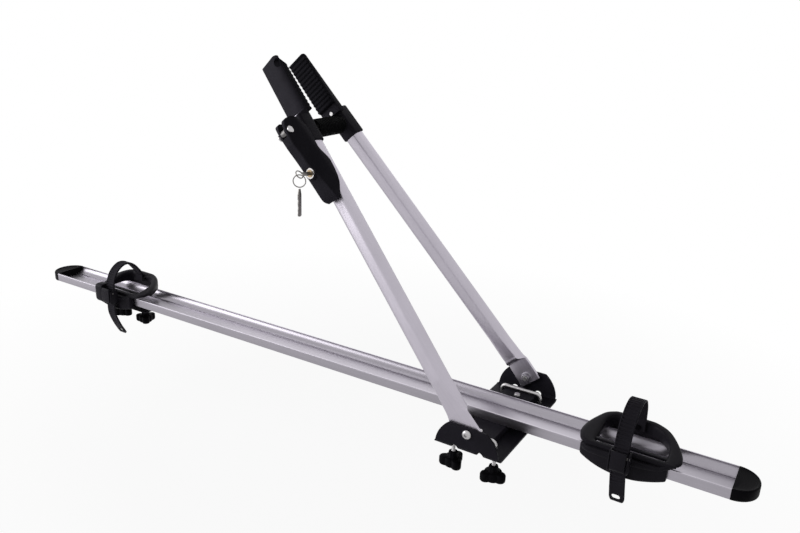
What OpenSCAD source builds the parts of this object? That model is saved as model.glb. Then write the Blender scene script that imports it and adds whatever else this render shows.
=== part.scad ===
// Roof mounted bike carrier: a wheel rail, a folding clamp frame and two wheel holders.
// Sizes are in millimetres. X runs along the rail, Y across it and Z up.
// The origin is the middle of the rear roof bar seat, right below the frame pivot.

/* [Rail] */
// Length of the wheel rail between its end caps
rail_length = 1350; // [1300:10:1450]
// Outside width of the rail
rail_width = 63.8; // [61:0.2:66]
// Height of the rail walls
rail_height = 15.5; // [14:0.5:18]
// Wall thickness of the rail profile
rail_wall = 2; // [1.6:0.1:2.3]
// Distance of the rail's rear cut behind the pivot
rail_behind = 335; // [320:5:380]
// How far an end cap reaches past the rail
cap_reach = 31; // [24:1:40]

/* [Base bracket] */
// Width of the pressed bracket along the rail
plate_width = 103.6; // [98:0.2:112]
// Half of the distance over the outer flange faces
flange_out = 112; // [110:0.5:118]
// Thickness of the bracket's steel sheet
sheet = 3; // [2.5:0.1:3.5]
// Height of the bead that carries the rail
bead_height = 13.2; // [12:0.2:15]
// Width of the bead
bead_width = 50; // [46:1:54]
// Height of the flange tops
flange_top = 41; // [40:1:48]
// Height of the frame pivot
pivot_z = 31; // [29:0.5:33]

/* [Clamp screws] */
// Distance between the two legs of a bar clamp
leg_span = 65; // [60:1:70]
// Thread diameter of the bar clamp screws
stem_d = 6; // [5:0.5:8]
// Diameter of a star knob
knob_d = 41; // [36:1:46]
// Distance of the front bar clamp ahead of the pivot
front_x = 817.5; // [700:2.5:840]

/* [Folding frame] */
// Lean of the frame from upright
lean = 41; // [30:1:50]
// Side of the square arm tube
tube = 25; // [23:0.5:26]
// Corner radius of the arm tube
tube_r = 7; // [4:0.5:8]
// Wall of the arm tube
tube_wall = 1.6; // [1.2:0.1:2]
// Diameter of the frame pivot bolts
pivot_d = 8; // [6:0.5:10]

/* [Clamp head] */
// Width of the two jaws
jaw_width = 37; // [32:1:40]
// Length of the jaws above their collars
jaw_length = 103; // [90:1:115]
// Diameter of the clamp rod and of the lever pin
rod_d = 8; // [6:0.5:8.5]
// Outside diameter of the clamp spring
spring_d = 29.5; // [24:0.5:30]
// Wire of the clamp spring
spring_wire = 2.4; // [1.8:0.1:2.6]
// Diameter of the lock barrel
lock_d = 16; // [14:0.5:18]

/* [Wheel holders] */
// Place of the rear wheel holder behind the pivot
rear_holder_x = 201; // [180:1:220]
// Place of the front wheel holder ahead of the pivot
front_holder_x = 821; // [700:1:880]
// Length of a wheel holder along the rail
holder_length = 138; // [130:1:150]
// Width of the wheel straps
strap_width = 21; // [18:0.5:22]
// Thickness of the wheel straps
strap_thick = 3.2; // [2.6:0.1:3.6]

/* [Hidden] */
$fn = 48;

// Heights and ends of the rail
rail_z = bead_height;
rim_z = rail_z + rail_height;
rail_front = rail_behind - rail_length;
floor_z = rail_wall + 0.4;
step_y = 16;
step_z = rail_wall + 2.6;
rim_in = rail_width / 2 - 2.2;

// Bracket details
bend = 9;
bead_end = flange_out - 15;
flange_r = plate_width / 2 - 2.3;
ubolt_y = flange_out - 28;
leg_x = leg_span / 2;
stem_r = stem_d / 2;
pivot_r = pivot_d / 2;
rail_bolt_x = 15;
sink = 1.8;
pad_screw_y = 68;
hub_h = 9;
hub_r = 7;
star_h = 14;
knob_top = -21;
strip_z = -9.5;

// Frame details: an arm runs from the pivot up to a narrow head
foot_out = flange_out - sheet - 1;
foot_thick = 4.6;
foot_end = 26;
arm_base = flange_out - 7;
splay = atan((arm_base - 30) / 700);
tube_start = 84;
collar = tube + 3;
collar_start = 480;
collar_end = 531;
tube_end = 527;
rod_s = 503;
rod_r = rod_d / 2;
jaw_start = collar_end - 2;
jaw_end = jaw_start + jaw_length;
near_face = 10.5;
far_face = 31;

// Lever details, in the near arm's own axes
pin_reach = 98;
pin_out = arm_base - pin_reach;
pin_t = rod_s * cos(splay) + pin_out * sin(splay);
pin_y = pin_out * cos(splay) - rod_s * sin(splay);
cam_gap = 0.4;
cam_start = -pin_y - collar / 2 - cam_gap;
cam_drop = 7.64;
cam_turn = 100;
flank_slope = 0.354;
flank_rise = 0.0746;
flank_at = -9.64;
lock_t = 432;
lock_face = -41;
bow_y = -63;
bow_r = 7.5;
ring_r = 9;
ring_wire = 0.8;
ring_turn = 32;
ring_hang = 0.5;

// Wheel holder details
skirt_in = rail_width / 2 + 0.5;
holder_half = 44;
ring_z = rim_z + 0.4;
buckle_in = -47.6;
front_block = 19.5;
rear_strap_x = rear_holder_x - 3;
front_strap_x = -front_holder_x + 3;

// Point of the near arm's own axes carried into the carrier's axes
function arm_y(yl, t) = yl * cos(splay) + t * sin(splay) - arm_base;
function arm_s(yl, t) = t * cos(splay) - yl * sin(splay);
function arm_pt(yl, t) = [-arm_s(yl, t) * sin(lean), arm_y(yl, t), pivot_z + arm_s(yl, t) * cos(lean)];

// Places children in the leaning frame: X out of its plane, Z up along it
module in_frame() {
  translate([0, 0, pivot_z]) rotate([0, -lean, 0]) children();
}

// Places children on one arm: side -1 is the near arm, 1 the far arm
module on_arm(side) {
  in_frame() translate([0, side * arm_base, 0]) rotate([side * splay, 0, 0]) children();
}

// Extrudes a drawing of the Y-Z plane along X
module along_x(length) {
  rotate([90, 0, 90]) linear_extrude(length) children();
}

// Extrudes a drawing of the Y-Z plane to both sides along X
module across_x(width) {
  translate([-width / 2, 0, 0]) along_x(width) children();
}

// Cylinder along Y between two places
module rod_y(r, y0, y1) {
  translate([0, y1, 0]) rotate([90, 0, 0]) cylinder(r = r, h = y1 - y0);
}

// Cylinder along X between two places
module rod_x(r, x0, x1) {
  translate([x0, 0, 0]) rotate([0, 90, 0]) cylinder(r = r, h = x1 - x0);
}

// Hexagon along Y between two places, for bolt heads and nuts
module hex_y(r, y0, y1) {
  translate([0, y1, 0]) rotate([90, 0, 0]) cylinder(r = r, h = y1 - y0, $fn = 6);
}

// Drawing of a rectangle with round corners
module round_rect(w, h, r) {
  square([w - 2 * r, h], center = true);
  square([w, h - 2 * r], center = true);
  for (x = [-1, 1], y = [-1, 1])
    translate([x * (w / 2 - r), y * (h / 2 - r)]) circle(r);
}

// Inner wall of the rail, rising in a quarter curve from its step to the rim
function flare_y(a) = step_y + (rim_in - step_y) * sin(a);
function flare_z(a) = step_z + (rail_height - step_z) * (1 - cos(a));

// Side profile of the rail: step, flared wall, upright outside and a hollow chamber
module side_profile() {
  difference() {
    polygon(concat(
      [[step_y - 0.4, 0], [rail_width / 2, 0], [rail_width / 2, rail_height - 0.9],
       [rail_width / 2 - 0.9, rail_height]],
      [for (a = [90:-10:0]) [flare_y(a), flare_z(a)]],
      [[step_y - 0.4, floor_z]]));
    polygon([
      [step_y + 1.5, rail_wall],
      [rail_width / 2 - rail_wall, rail_wall],
      [rail_width / 2 - rail_wall, flare_z(70) - rail_wall],
      [flare_y(45) + 0.5, flare_z(45) - rail_wall],
      [flare_y(20), flare_z(20) - rail_wall]]);
  }
}

// Floor strip of the rail, between its two side profiles
module rail_floor() {
  half = step_y - 0.42;
  color("silver")
  difference() {
    translate([rail_front, -half, rail_z]) cube([rail_length, 2 * half, floor_z]);
    for (x = [-rail_bolt_x, rail_bolt_x, -front_x - leg_x, -front_x + leg_x])
      translate([x, 0, rail_z]) {
        translate([0, 0, -1]) cylinder(r = stem_r + 0.2, h = rail_wall + 3);
        translate([0, 0, floor_z - sink])
          cylinder(r1 = stem_r + 0.2, r2 = stem_r + sink + 0.2, h = sink + 0.01);
      }
  }
}

module near_rail_side() {
  color("silver") translate([rail_front, 0, rail_z]) along_x(rail_length) mirror([1, 0]) side_profile();
}

module far_rail_side() {
  color("silver") translate([rail_front, 0, rail_z]) along_x(rail_length) side_profile();
}

// Half oval of an end cap, seen from above
module cap_plan(reach, half) {
  polygon([for (a = [-90:7.5:90]) [reach * cos(a), half * sin(a)]]);
}

// End cap with a dished top and two tongues in the rail's chambers
module end_cap() {
  difference() {
    translate([0, 0, rail_z - 0.4]) linear_extrude(rail_height + 1) cap_plan(cap_reach, rail_width / 2 + 0.5);
    translate([0, 0, rail_z + 7]) linear_extrude(rail_height) cap_plan(cap_reach - 6, rail_width / 2 - 4);
  }
  for (side = [-1, 1])
    translate([-14, side * (rail_width / 2 - 5.9) - 2.5, rail_z + rail_wall + 0.2]) cube([16, 5, 1.7]);
}

module front_cap() {
  color("dimgray") translate([rail_front, 0, 0]) mirror([1, 0, 0]) end_cap();
}

module rear_cap() {
  color("dimgray") translate([rail_behind, 0, 0]) end_cap();
}

// Half of the bent sheet: floor, bend and upright flange
module sheet_half() {
  polygon(concat(
    [[0, 0]],
    [for (a = [-90:15:0]) [flange_out - bend + bend * cos(a), bend + bend * sin(a)]],
    [[flange_out, flange_top], [flange_out - sheet, flange_top]],
    [for (a = [0:-15:-90]) [flange_out - bend + (bend - sheet) * cos(a), bend + (bend - sheet) * sin(a)]],
    [[0, sheet]]));
}

// Outline of the bracket seen along Y: a flat base under half discs
module bracket_outline() {
  translate([-plate_width / 2, -1]) square([plate_width, sheet + 1.6]);
  intersection() {
    translate([0, 1.2]) circle(flange_r);
    translate([-plate_width, 0]) square([2 * plate_width, 2 * plate_width]);
  }
}

module base_bracket() {
  color([0.16, 0.16, 0.17])
  difference() {
    union() {
      intersection() {
        across_x(plate_width) {
          sheet_half();
          mirror([1, 0]) sheet_half();
        }
        rotate([90, 0, 0]) linear_extrude(2 * flange_out + 10, center = true) bracket_outline();
      }
      translate([-bead_width / 2, -bead_end, 0]) cube([bead_width, 2 * bead_end, bead_height]);
    }
    translate([-bead_width / 2 + sheet, -bead_end + sheet, -1])
      cube([bead_width - 2 * sheet, 2 * (bead_end - sheet), bead_height - sheet + 1]);
    for (x = [-leg_x, leg_x], y = [-ubolt_y, ubolt_y])
      translate([x, y, -1]) cylinder(r = stem_r + 0.3, h = sheet + 2);
    for (x = [-rail_bolt_x, rail_bolt_x])
      translate([x, 0, 0]) cylinder(r = stem_r + 0.2, h = bead_height + 1);
    for (y = [-pad_screw_y, pad_screw_y])
      translate([0, y, 0]) cylinder(r = 2.7, h = bead_height + 1);
    translate([0, 0, pivot_z]) rod_y(pivot_r + 0.1, -flange_out - 1, flange_out + 1);
    for (x = [-20, 20])
      translate([x, 0, sheet]) {
        rod_y(6, -flange_out - 1, -bead_end - 1);
        rod_y(6, bead_end + 1, flange_out + 1);
      }
  }
}

// Rubber block in the hollow of the bead, flush with the seat
module bar_pad() {
  color([0.1, 0.1, 0.1])
  difference() {
    translate([-bead_width / 2 + sheet + 0.3, -bead_end + sheet + 2, 0])
      cube([bead_width - 2 * sheet - 0.6, 2 * (bead_end - sheet - 2), bead_height - sheet - 0.1]);
    translate([-rail_bolt_x - 8, -9, bead_height - sheet - 6.5]) cube([2 * rail_bolt_x + 16, 18, 10]);
    for (y = [-pad_screw_y, pad_screw_y])
      translate([0, y, 3]) cylinder(r = 2.7, h = bead_height);
  }
}

module pad_screws() {
  color("gainsboro")
  for (y = [-pad_screw_y, pad_screw_y])
    translate([0, y, 0]) {
      translate([0, 0, 4]) cylinder(r = 2.6, h = bead_height - 3.9);
      translate([0, 0, bead_height + 0.05]) cylinder(r1 = 5, r2 = 4, h = 3);
    }
}

// Countersunk screw head, just below the top of the rail floor
module sunk_head() {
  translate([0, 0, rail_z + floor_z - sink - 0.1]) cylinder(r1 = stem_r, r2 = stem_r + sink, h = sink);
}

module rail_bolts() {
  color("gainsboro")
  for (x = [-rail_bolt_x, rail_bolt_x])
    translate([x, 0, 0]) {
      translate([0, 0, bead_height - sheet - 5.8]) cylinder(r = stem_r, h = sheet + floor_z + 5);
      sunk_head();
      translate([0, 0, bead_height - sheet - 5.05]) cylinder(r = stem_r * 1.9, h = 5, $fn = 6);
    }
}

// Round bar bent over the bead, its two legs reaching down past the roof bar
module ubolt(y) {
  top = bead_height + stem_r + 0.05;
  inner = leg_x - 2 * stem_r;
  translate([0, y, top]) rod_x(stem_r, -inner, inner);
  for (side = [0, 1])
    mirror([side, 0, 0]) translate([inner, y, top - 2 * stem_r]) {
      rotate([90, 0, 0]) rotate_extrude(angle = 90) translate([2 * stem_r, 0]) circle(stem_r);
      translate([2 * stem_r, 0, knob_top - 18 - (top - 2 * stem_r)])
        cylinder(r = stem_r, h = top - 2 * stem_r - knob_top + 18);
    }
}

module near_ubolt() {
  color("gainsboro") ubolt(-ubolt_y);
}

module far_ubolt() {
  color("gainsboro") ubolt(ubolt_y);
}

// Drawing of the three lobed star
module star() {
  circle(knob_d / 2 * 0.66);
  for (a = [90, 210, 330])
    rotate(a) {
      translate([knob_d / 2 - 7, 0]) circle(7);
      translate([0, -7]) square([knob_d / 2 - 7, 14]);
    }
}

// Star knob with a hub on top and a blind threaded bore
module knob(x, y, top, turn) {
  translate([x, y, top]) rotate(turn)
  difference() {
    union() {
      translate([0, 0, -hub_h]) cylinder(r1 = hub_r + 1.4, r2 = hub_r, h = hub_h);
      translate([0, 0, -hub_h - star_h]) linear_extrude(star_h) star();
    }
    translate([0, 0, -19]) cylinder(r = stem_r + 0.05, h = 20);
  }
}

module near_knob_a() {
  color("dimgray") knob(-leg_x, -ubolt_y, knob_top, -8);
}

module near_knob_b() {
  color("dimgray") knob(leg_x, -ubolt_y, knob_top, 22);
}

module far_knob_a() {
  color("dimgray") knob(-leg_x, ubolt_y, knob_top, 0);
}

module far_knob_b() {
  color("dimgray") knob(leg_x, ubolt_y, knob_top, 40);
}

// Block between the rail and the front roof bar
module front_seat() {
  color("dimgray")
  difference() {
    translate([-front_x - leg_x - 20, -27, 0]) cube([leg_span + 40, 54, rail_z]);
    for (x = [-front_x - leg_x, -front_x + leg_x])
      translate([x, 0, -1]) cylinder(r = stem_r + 0.2, h = rail_z + 2);
  }
}

module front_bolts() {
  color("gainsboro")
  for (x = [-front_x - leg_x, -front_x + leg_x])
    translate([x, 0, 0]) {
      translate([0, 0, strip_z - 18]) cylinder(r = stem_r, h = rail_z + floor_z - strip_z + 17);
      sunk_head();
    }
}

// Steel strip that draws the front roof bar up against its seat
module front_strip() {
  color([0.16, 0.16, 0.17])
  difference() {
    translate([-front_x - leg_x - 14, -12, strip_z]) cube([leg_span + 28, 24, sheet]);
    for (x = [-front_x - leg_x, -front_x + leg_x])
      translate([x, 0, strip_z - 1]) cylinder(r = stem_r + 0.3, h = sheet + 2);
  }
}

module front_knob_a() {
  color("dimgray") knob(-front_x - leg_x, 0, strip_z - 0.3, 30);
}

module front_knob_b() {
  color("dimgray") knob(-front_x + leg_x, 0, strip_z - 0.3, -9);
}

// Bolts through the flanges, their heads outside
module pivot_bolts() {
  color("gainsboro")
  for (side = [0, 1])
    mirror([0, side, 0]) translate([0, 0, pivot_z]) {
      rod_y(pivot_r, foot_out - foot_thick - 9, flange_out + 0.2);
      rod_y(pivot_r * 1.65, flange_out + 0.05, flange_out + 3);
      rod_y(pivot_r * 1.3, flange_out + 3, flange_out + 4.4);
    }
}

// Nuts with washers on the inner faces of the arm feet
module pivot_nuts() {
  color("gainsboro")
  for (side = [0, 1])
    mirror([0, side, 0]) translate([0, 0, pivot_z])
      difference() {
        union() {
          rod_y(pivot_r * 2.2, foot_out - foot_thick - 1.9, foot_out - foot_thick - 0.4);
          hex_y(pivot_r * 1.85, foot_out - foot_thick - 8.2, foot_out - foot_thick - 1.9);
        }
        rod_y(pivot_r + 0.05, foot_out - foot_thick - 20, foot_out);
      }
}

// Thin nylon washers between the flanges and the arm feet
module pivot_washers() {
  color("dimgray")
  for (side = [0, 1])
    mirror([0, side, 0]) translate([0, 0, pivot_z])
      difference() {
        rod_y(pivot_r * 2.4, foot_out + 0.35, flange_out - sheet - 0.02);
        rod_y(pivot_r + 0.1, foot_out - 5, flange_out);
      }
}

// Outline of the crushed arm end, seen across the pivot
module foot_outline(top) {
  half = tube / 2 + 5.5;
  polygon([[-half, top], [-half - 1, -11], [half + 1, -11], [half, top]]);
}

// Flat foot with its pivot hole, for the near side
module foot(top) {
  in_frame()
  difference() {
    translate([0, -foot_out + foot_thick, 0]) rotate([90, 0, 0]) linear_extrude(foot_thick) foot_outline(top);
    rod_y(pivot_r + 0.05, -flange_out, flange_out);
  }
}

// Neck that widens from the crushed end to the full tube, for the near side
module neck(start) {
  half = tube / 2 + 5;
  hull() {
    in_frame() translate([-half, -foot_out + 0.1, start]) cube([2 * half, foot_thick - 0.2, 0.8]);
    in_frame() translate([-half + 2, -foot_out, 46]) cube([2 * half - 4, tube - 4.5, 1]);
    on_arm(-1) translate([0, 0, tube_start]) linear_extrude(2)
      round_rect(tube - 0.4, tube - 0.4, tube_r - 0.2, $fn = 32);
  }
}

// Square tube of one arm with the hole for the clamp rod
module arm_tube(side) {
  difference() {
    on_arm(side) translate([0, 0, tube_start - 0.4]) linear_extrude(tube_end - tube_start + 0.4)
      difference() {
        round_rect(tube, tube, tube_r);
        round_rect(tube - 2 * tube_wall, tube - 2 * tube_wall, tube_r - tube_wall);
      }
    in_frame() translate([0, 0, rod_s]) rod_y(rod_r + (side > 0 ? 2.6 : 1.5), -arm_base, arm_base);
  }
}

module near_arm() {
  color("silver") {
    foot(foot_end);
    neck(foot_end - 1.2);
    arm_tube(-1);
  }
}

module far_foot() {
  color("silver") mirror([0, 1, 0]) foot(foot_end - 0.15);
}

module far_arm() {
  color("silver") {
    mirror([0, 1, 0]) neck(foot_end + 0.15);
    arm_tube(1);
  }
}

// Hole through both collars for the clamp rod
module rod_hole(r) {
  in_frame() translate([0, 0, rod_s]) rod_y(r, -arm_base, arm_base);
}

// Collar that takes the top of an arm tube
module collar_block(side) {
  on_arm(side) translate([0, 0, collar_start]) linear_extrude(collar_end - collar_start)
    round_rect(collar, collar, 4.5);
}

// Socket for the arm tube inside a collar
module tube_socket(side) {
  on_arm(side) translate([0, 0, collar_start - 1]) linear_extrude(tube_end + 1.2 - collar_start)
    round_rect(tube + 0.1, tube + 0.1, tube_r);
}

// Side view of the near jaw, its tip cut at a slant
module near_jaw_side() {
  polygon([
    [-3, jaw_start - 10], [-3, jaw_start + 5], [-1.4, jaw_end - 1.6], [0.2, jaw_end - 0.6],
    [near_face, jaw_end - 10.6], [near_face, jaw_start - 10]]);
}

module near_jaw() {
  color([0.2, 0.2, 0.22])
  difference() {
    union() {
      collar_block(-1);
      on_arm(-1) intersection() {
        across_x(jaw_width) near_jaw_side();
        translate([0, 7, jaw_start]) linear_extrude(jaw_length + 1) round_rect(jaw_width, 20, 2.5);
      }
    }
    tube_socket(-1);
    rod_hole(rod_r + 0.05);
    on_arm(-1) translate([0, 3.7, jaw_end - 14.5]) rod_x(5.6, jaw_width / 2 - 10, jaw_width);
  }
}

// Side view of the far jaw, a wedge that keeps its pad parallel to the near one
module far_jaw_side() {
  polygon([
    [far_face, jaw_start - 10], [far_face, jaw_end - 2], [far_face + 1.8, jaw_end - 2],
    [far_face + 11.6, jaw_start + 2], [far_face + 12.4, jaw_start - 10]]);
}

module far_jaw() {
  color([0.2, 0.2, 0.22])
  difference() {
    union() {
      collar_block(1);
      in_frame() across_x(jaw_width) far_jaw_side();
    }
    tube_socket(1);
    rod_hole(rod_r + 2.6);
  }
}

// Ribbed edge between two points, as a row of blunt teeth
function rib_edge(a, b, count, depth) = [
  for (i = [0:count - 1], c = [[0.1, 0], [0.3, 1], [0.7, 1], [0.9, 0]])
    let (f = (i + c[0]) / count)
    [a[0] + (b[0] - a[0]) * f + depth * c[1], a[1] + (b[1] - a[1]) * f]];

module near_pad() {
  color([0.08, 0.08, 0.08])
  on_arm(-1) across_x(jaw_width - 3)
    polygon(concat(
      [[near_face + 0.02, jaw_end - 11.2], [near_face + 0.02, jaw_start + 3]],
      rib_edge([near_face + 3.2, jaw_start + 3], [near_face + 3.2, jaw_end - 14], 13, 1.4)));
}

module far_pad() {
  color([0.08, 0.08, 0.08])
  in_frame() across_x(jaw_width - 1)
    polygon(concat(
      [[far_face - 0.02, jaw_end - 2.4], [far_face - 0.02, jaw_start + 4.6]],
      rib_edge([far_face - 2.6, jaw_start + 4.6], [far_face - 2.6, jaw_end - 2.4], 14, -1.4)));
}

// Small screws that hold a pad, their heads on the jaw's front face and on the far jaw below its pad
module near_pad_screws() {
  color("gainsboro")
  on_arm(-1) for (t = [jaw_start + 22, jaw_end - 38])
    translate([0, 7, t]) rod_x(3.2, -jaw_width / 2 - 1.8, -jaw_width / 2 - 0.02);
}

module far_pad_screws() {
  color("gainsboro")
  in_frame() translate([1, 0, jaw_start - 6]) rod_y(3, far_face - 1.6, far_face - 0.02);
}

// Rod through both collars with an eye for the lever pin
module clamp_rod() {
  color("gainsboro")
  in_frame() translate([0, 0, rod_s])
    difference() {
      union() {
        rod_y(rod_r, -pin_reach + 3, 76);
        translate([0, -pin_reach, 0]) rod_x(rod_r + 2.5, -4.5, 4.5);
      }
      translate([0, -pin_reach, 0]) rod_x(rod_r + 0.05, -10, 10);
    }
}

// Adjusting nut with its washer behind the far collar
module rod_nut() {
  half = arm_base - rod_s * tan(splay);
  face = half + collar / 2 / cos(splay) + 1.4;
  color("gainsboro")
  in_frame() translate([0, 0, rod_s])
    difference() {
      union() {
        rod_y(rod_r * 2, face, face + 1.6);
        hex_y(rod_r * 1.8, face + 1.6, face + 8);
      }
      rod_y(rod_r + 0.05, face - 1, face + 10);
    }
}

// Spring on the clamp rod: one unbroken wire wound along Y
spring_r = (spring_d - spring_wire) / 2;
spring_half = arm_base - rod_s * tan(splay) - collar / 2 - 1.8 - spring_wire / 2;
spring_turns = 19;
spring_steps = spring_turns * 8;
function spring_angle(i) = 90 + 360 * i / 8;
function spring_mid(i) = [spring_r * cos(spring_angle(i)),
                          -spring_half + 2 * spring_half * i / spring_steps,
                          spring_r * sin(spring_angle(i))];
function spring_pt(i, j) =
  let (a = spring_angle(i), q = spring_wire / 2, b = 360 * j / 6)
  spring_mid(i) + [q * cos(b) * cos(a), q * sin(b), q * cos(b) * sin(a)];
spring_gap = min([for (i = [0:spring_steps - 10], k = [6:10], j = [0:5], m = [0:5])
                   norm(spring_pt(i, j) - spring_pt(i + k, m))]);
echo(spring_gap = spring_gap);

module clamp_spring() {
  color([0.15, 0.15, 0.15])
  in_frame() translate([0, 0, rod_s])
    polyhedron(
      points = [for (i = [0:spring_steps], j = [0:5]) spring_pt(i, j)],
      faces = concat(
        [for (i = [0:spring_steps - 1], j = [0:5])
          [i * 6 + j, i * 6 + (j + 1) % 6, i * 6 + 6 + (j + 1) % 6, i * 6 + 6 + j]],
        [[5, 4, 3, 2, 1, 0]],
        [[for (j = [0:5]) spring_steps * 6 + j]]));
}

// Steel pin that the lever turns on
module cam_pin() {
  color("gainsboro")
  in_frame() translate([0, -pin_reach, rod_s]) {
    rod_x(rod_r, -12, 12);
    rod_x(rod_r + 1.4, 10.9, 12.8);
    rod_x(rod_r + 1.4, -12.8, -10.9);
  }
}

// Cam of the lever: it stays on the collar while the rod runs out with the turn
function cam_h(a) = cam_start - cam_drop * a * PI / 180;
function cam_pt(a) = [pin_y + cam_h(a) * cos(a) + cam_drop * sin(a),
                      pin_t + cam_h(a) * sin(a) - cam_drop * cos(a)];

// Side view of the lever: cam, fork and a back that follows the grip down to its tip
module lever_side() {
  polygon(concat(
    [for (a = [0:10:cam_turn]) cam_pt(a)],
    [[pin_y - 0.5, pin_t + 19.4], [pin_y - 3.4, pin_t + 15.9], [pin_y - 5, pin_t + 11],
     [pin_y - 6.1, pin_t + 1], [-51.6, 479], [-47.1, 461.5], [-43.8, 444], [-38.3, 426],
     [-33.9, 408.7], [-29.5, 391], [-26.4, 386.6], [-20.4, 384.6], [-17.5, 386.4], [-15, 391.5],
     [-5.8, 415], [-4, 428], [-3.4, 441.5], [-8, 453], [pin_y + cam_start, 466]]));
}

// Space outside the lever's two sloping flanks, moved in by a wall
module beyond_flanks(wall) {
  stretch = norm([1, flank_slope, flank_rise]);
  for (side = [0, 1])
    mirror([side, 0, 0]) translate([flank_at - wall * stretch, 0, 0])
      rotate([0, asin(flank_rise / stretch), -atan(flank_slope)])
        translate([0, -300, -900]) cube([90, 600, 1800]);
}

module lever() {
  color([0.2, 0.2, 0.22])
  on_arm(-1)
  difference() {
    union() {
      difference() {
        across_x(tube + 10) lever_side();
        beyond_flanks(0);
        difference() {
          across_x(tube + 1.4)
            polygon([[5, 478.5], [-44, 478.5], [-42, 462], [-38, 446], [-33, 430], [-30, 418],
                     [-27, 406], [-23.5, 394], [-19.5, 388], [-14, 385.6], [5, 385.6]]);
          beyond_flanks(3);
        }
      }
      translate([0, 0, lock_t]) rod_y(lock_d / 2 + 2.5, -39.4, -22);
    }
    translate([-4.9, pin_y - 20, pin_t - 7.4]) cube([9.8, 84, 60]);
    translate([0, pin_y, pin_t]) rod_x(rod_r + 0.05, -30, 30);
    for (side = [0, 1])
      mirror([side, 0, 0]) translate([0, pin_y, pin_t]) rod_x(rod_r + 1.9, 10.5, 30);
    translate([0, 0, lock_t]) rod_y(lock_d / 2 + 0.05, -60, -18);
  }
}

module lock_barrel() {
  color("gainsboro")
  on_arm(-1) translate([0, 0, lock_t])
    difference() {
      rod_y(lock_d / 2, lock_face, -22);
      rod_y(lock_d / 2 - 2.5, lock_face - 1, -25);
    }
}

module lock_plug() {
  color("goldenrod")
  on_arm(-1) translate([0, 0, lock_t]) rod_y(lock_d / 2 - 2.55, lock_face - 0.5, -26);
}

// Drawing of a key: round bow with a ring hole and a straight blade
module key_plan(blade, hole, r) {
  difference() {
    union() {
      circle(bow_r);
      translate([0, -3]) square([bow_r + blade, 6]);
    }
    translate([-hole, 0]) circle(r);
  }
}

module key() {
  color("gainsboro")
  on_arm(-1) translate([-0.9, bow_y, lock_t])
    along_x(1.8) key_plan(lock_face - 0.5 - bow_y - bow_r, 0, 5.2);
}

// Split ring that hangs straight down from the key's bow
module key_ring() {
  color("gainsboro")
  translate(arm_pt(bow_y, lock_t)) rotate(ring_turn) translate([0, 0, -ring_r - ring_hang])
    rotate([90, 0, 0]) rotate_extrude() translate([ring_r, 0]) circle(ring_wire);
}

module spare_key() {
  color("gainsboro")
  translate(arm_pt(bow_y, lock_t)) rotate(ring_turn) translate([-0.9, 0, -2 * ring_r - ring_hang - 5.85])
    rotate([-90, 0, 0]) along_x(1.8) key_plan(30, 3.6, 3.2);
}

// Outline of a wheel holder seen from above: its far corners are cut away, its near left end drawn in by trim
module holder_plan(trim) {
  e = holder_length / 2;
  h = holder_half;
  polygon([[-e + trim + 14, -h], [-e + trim + 9, -h + 2], [-e + trim + 6.5, -h + 7], [-e + trim + 5, -30],
           [-e + 0.9 * trim + 3, -15], [-e + 0.3 * trim + 5, 4], [-e + 10, 19.6], [-e + 17, h - 10.5],
           [-e + 27, h - 3.2], [-e + 38, h],
           [e - 60, h], [e - 46, h - 1.8], [e - 30, h - 9.5], [e - 19, 23], [e - 9.4, 6.8], [e - 3, -8],
           [e - 0.4, -20], [e - 1.6, -26], [e - 5, -31], [e - 9.5, -34.5], [e - 12, -36], [e - 12, -h]]);
}

// Window of a wheel holder seen from above
module window_plan() {
  w = holder_length / 2 - 19;
  polygon([[-w + 6, -holder_half + 12], [w, -holder_half + 12], [w, -12], [w - 3, 4], [w - 10, 16],
           [w - 20, 26], [w - 29, 31], [w - 35, 33], [-w + 21, 33],
           [-w + 12.5, 29.6], [-w + 7.4, 22], [-w + 6, 10]]);
}

// Bulge of the near skirt at a place along the holder
function skirt_face(x) = -holder_half - 3 + 8 * pow(abs(x) / 61, 3);
function skirt_foot(x) = 5 + 12 * pow(x / 60, 2);

// Moulded cradle that grips the rail from both sides
module holder(x, strap_x, trim) {
  near_top = ring_z + 7;
  far_top = ring_z + 20;
  tilt = atan((far_top - near_top) / (2 * holder_half));
  w = holder_length / 2 - 19;
  left = -w - 11 + trim;
  right = w + 7;
  skirt = [for (i = [0:12]) left + i * (right - left) / 12];
  translate([x, 0, 0])
  difference() {
    union() {
      difference() {
        translate([0, 0, ring_z]) linear_extrude(40) holder_plan(trim);
        translate([0, -holder_half, near_top]) rotate([tilt, 0, 0])
          translate([-holder_length, -40, 0]) cube([2 * holder_length, 4 * holder_half, 60]);
        translate([0, 0, ring_z - 1]) linear_extrude(60) window_plan();
      }
      translate([-w + 5, -27, ring_z + 5.5]) cube([2 * w - 4, 6, 3.8]);
      intersection() {
        linear_extrude(60)
          polygon(concat([for (a = skirt) [a, skirt_face(a)]], [[right, -skirt_in], [left, -skirt_in]]));
        rotate([90, 0, 0]) linear_extrude(200, center = true)
          polygon(concat([for (a = skirt) [a, skirt_foot(a)]], [[right, ring_z + 2], [left, ring_z + 2]]));
      }
      translate([-8, 38.2, 8]) linear_extrude(ring_z - 7) round_rect(holder_length - 64, 11.6, 5);
      for (side = [-1, 1])
        translate([-holder_length / 2 + 24, side * 33 - 3.2, rail_z - 4.5])
          cube([holder_length - 48, 6.4, 4.1]);
    }
    translate([-holder_length, -skirt_in, rail_z - 0.4])
      cube([2 * holder_length, 2 * skirt_in, rim_z - rail_z + 0.8]);
    translate([-holder_length, -rail_width / 2 + 2.4, 0])
      cube([2 * holder_length, rail_width - 4.8, rail_z]);
    translate([strap_x - x, 30, ring_z + 13]) rod_y(2.1, -4, 10);
    translate([right, -60, 0]) cube([20, 48, ring_z + 4.5]);
  }
}

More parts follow.
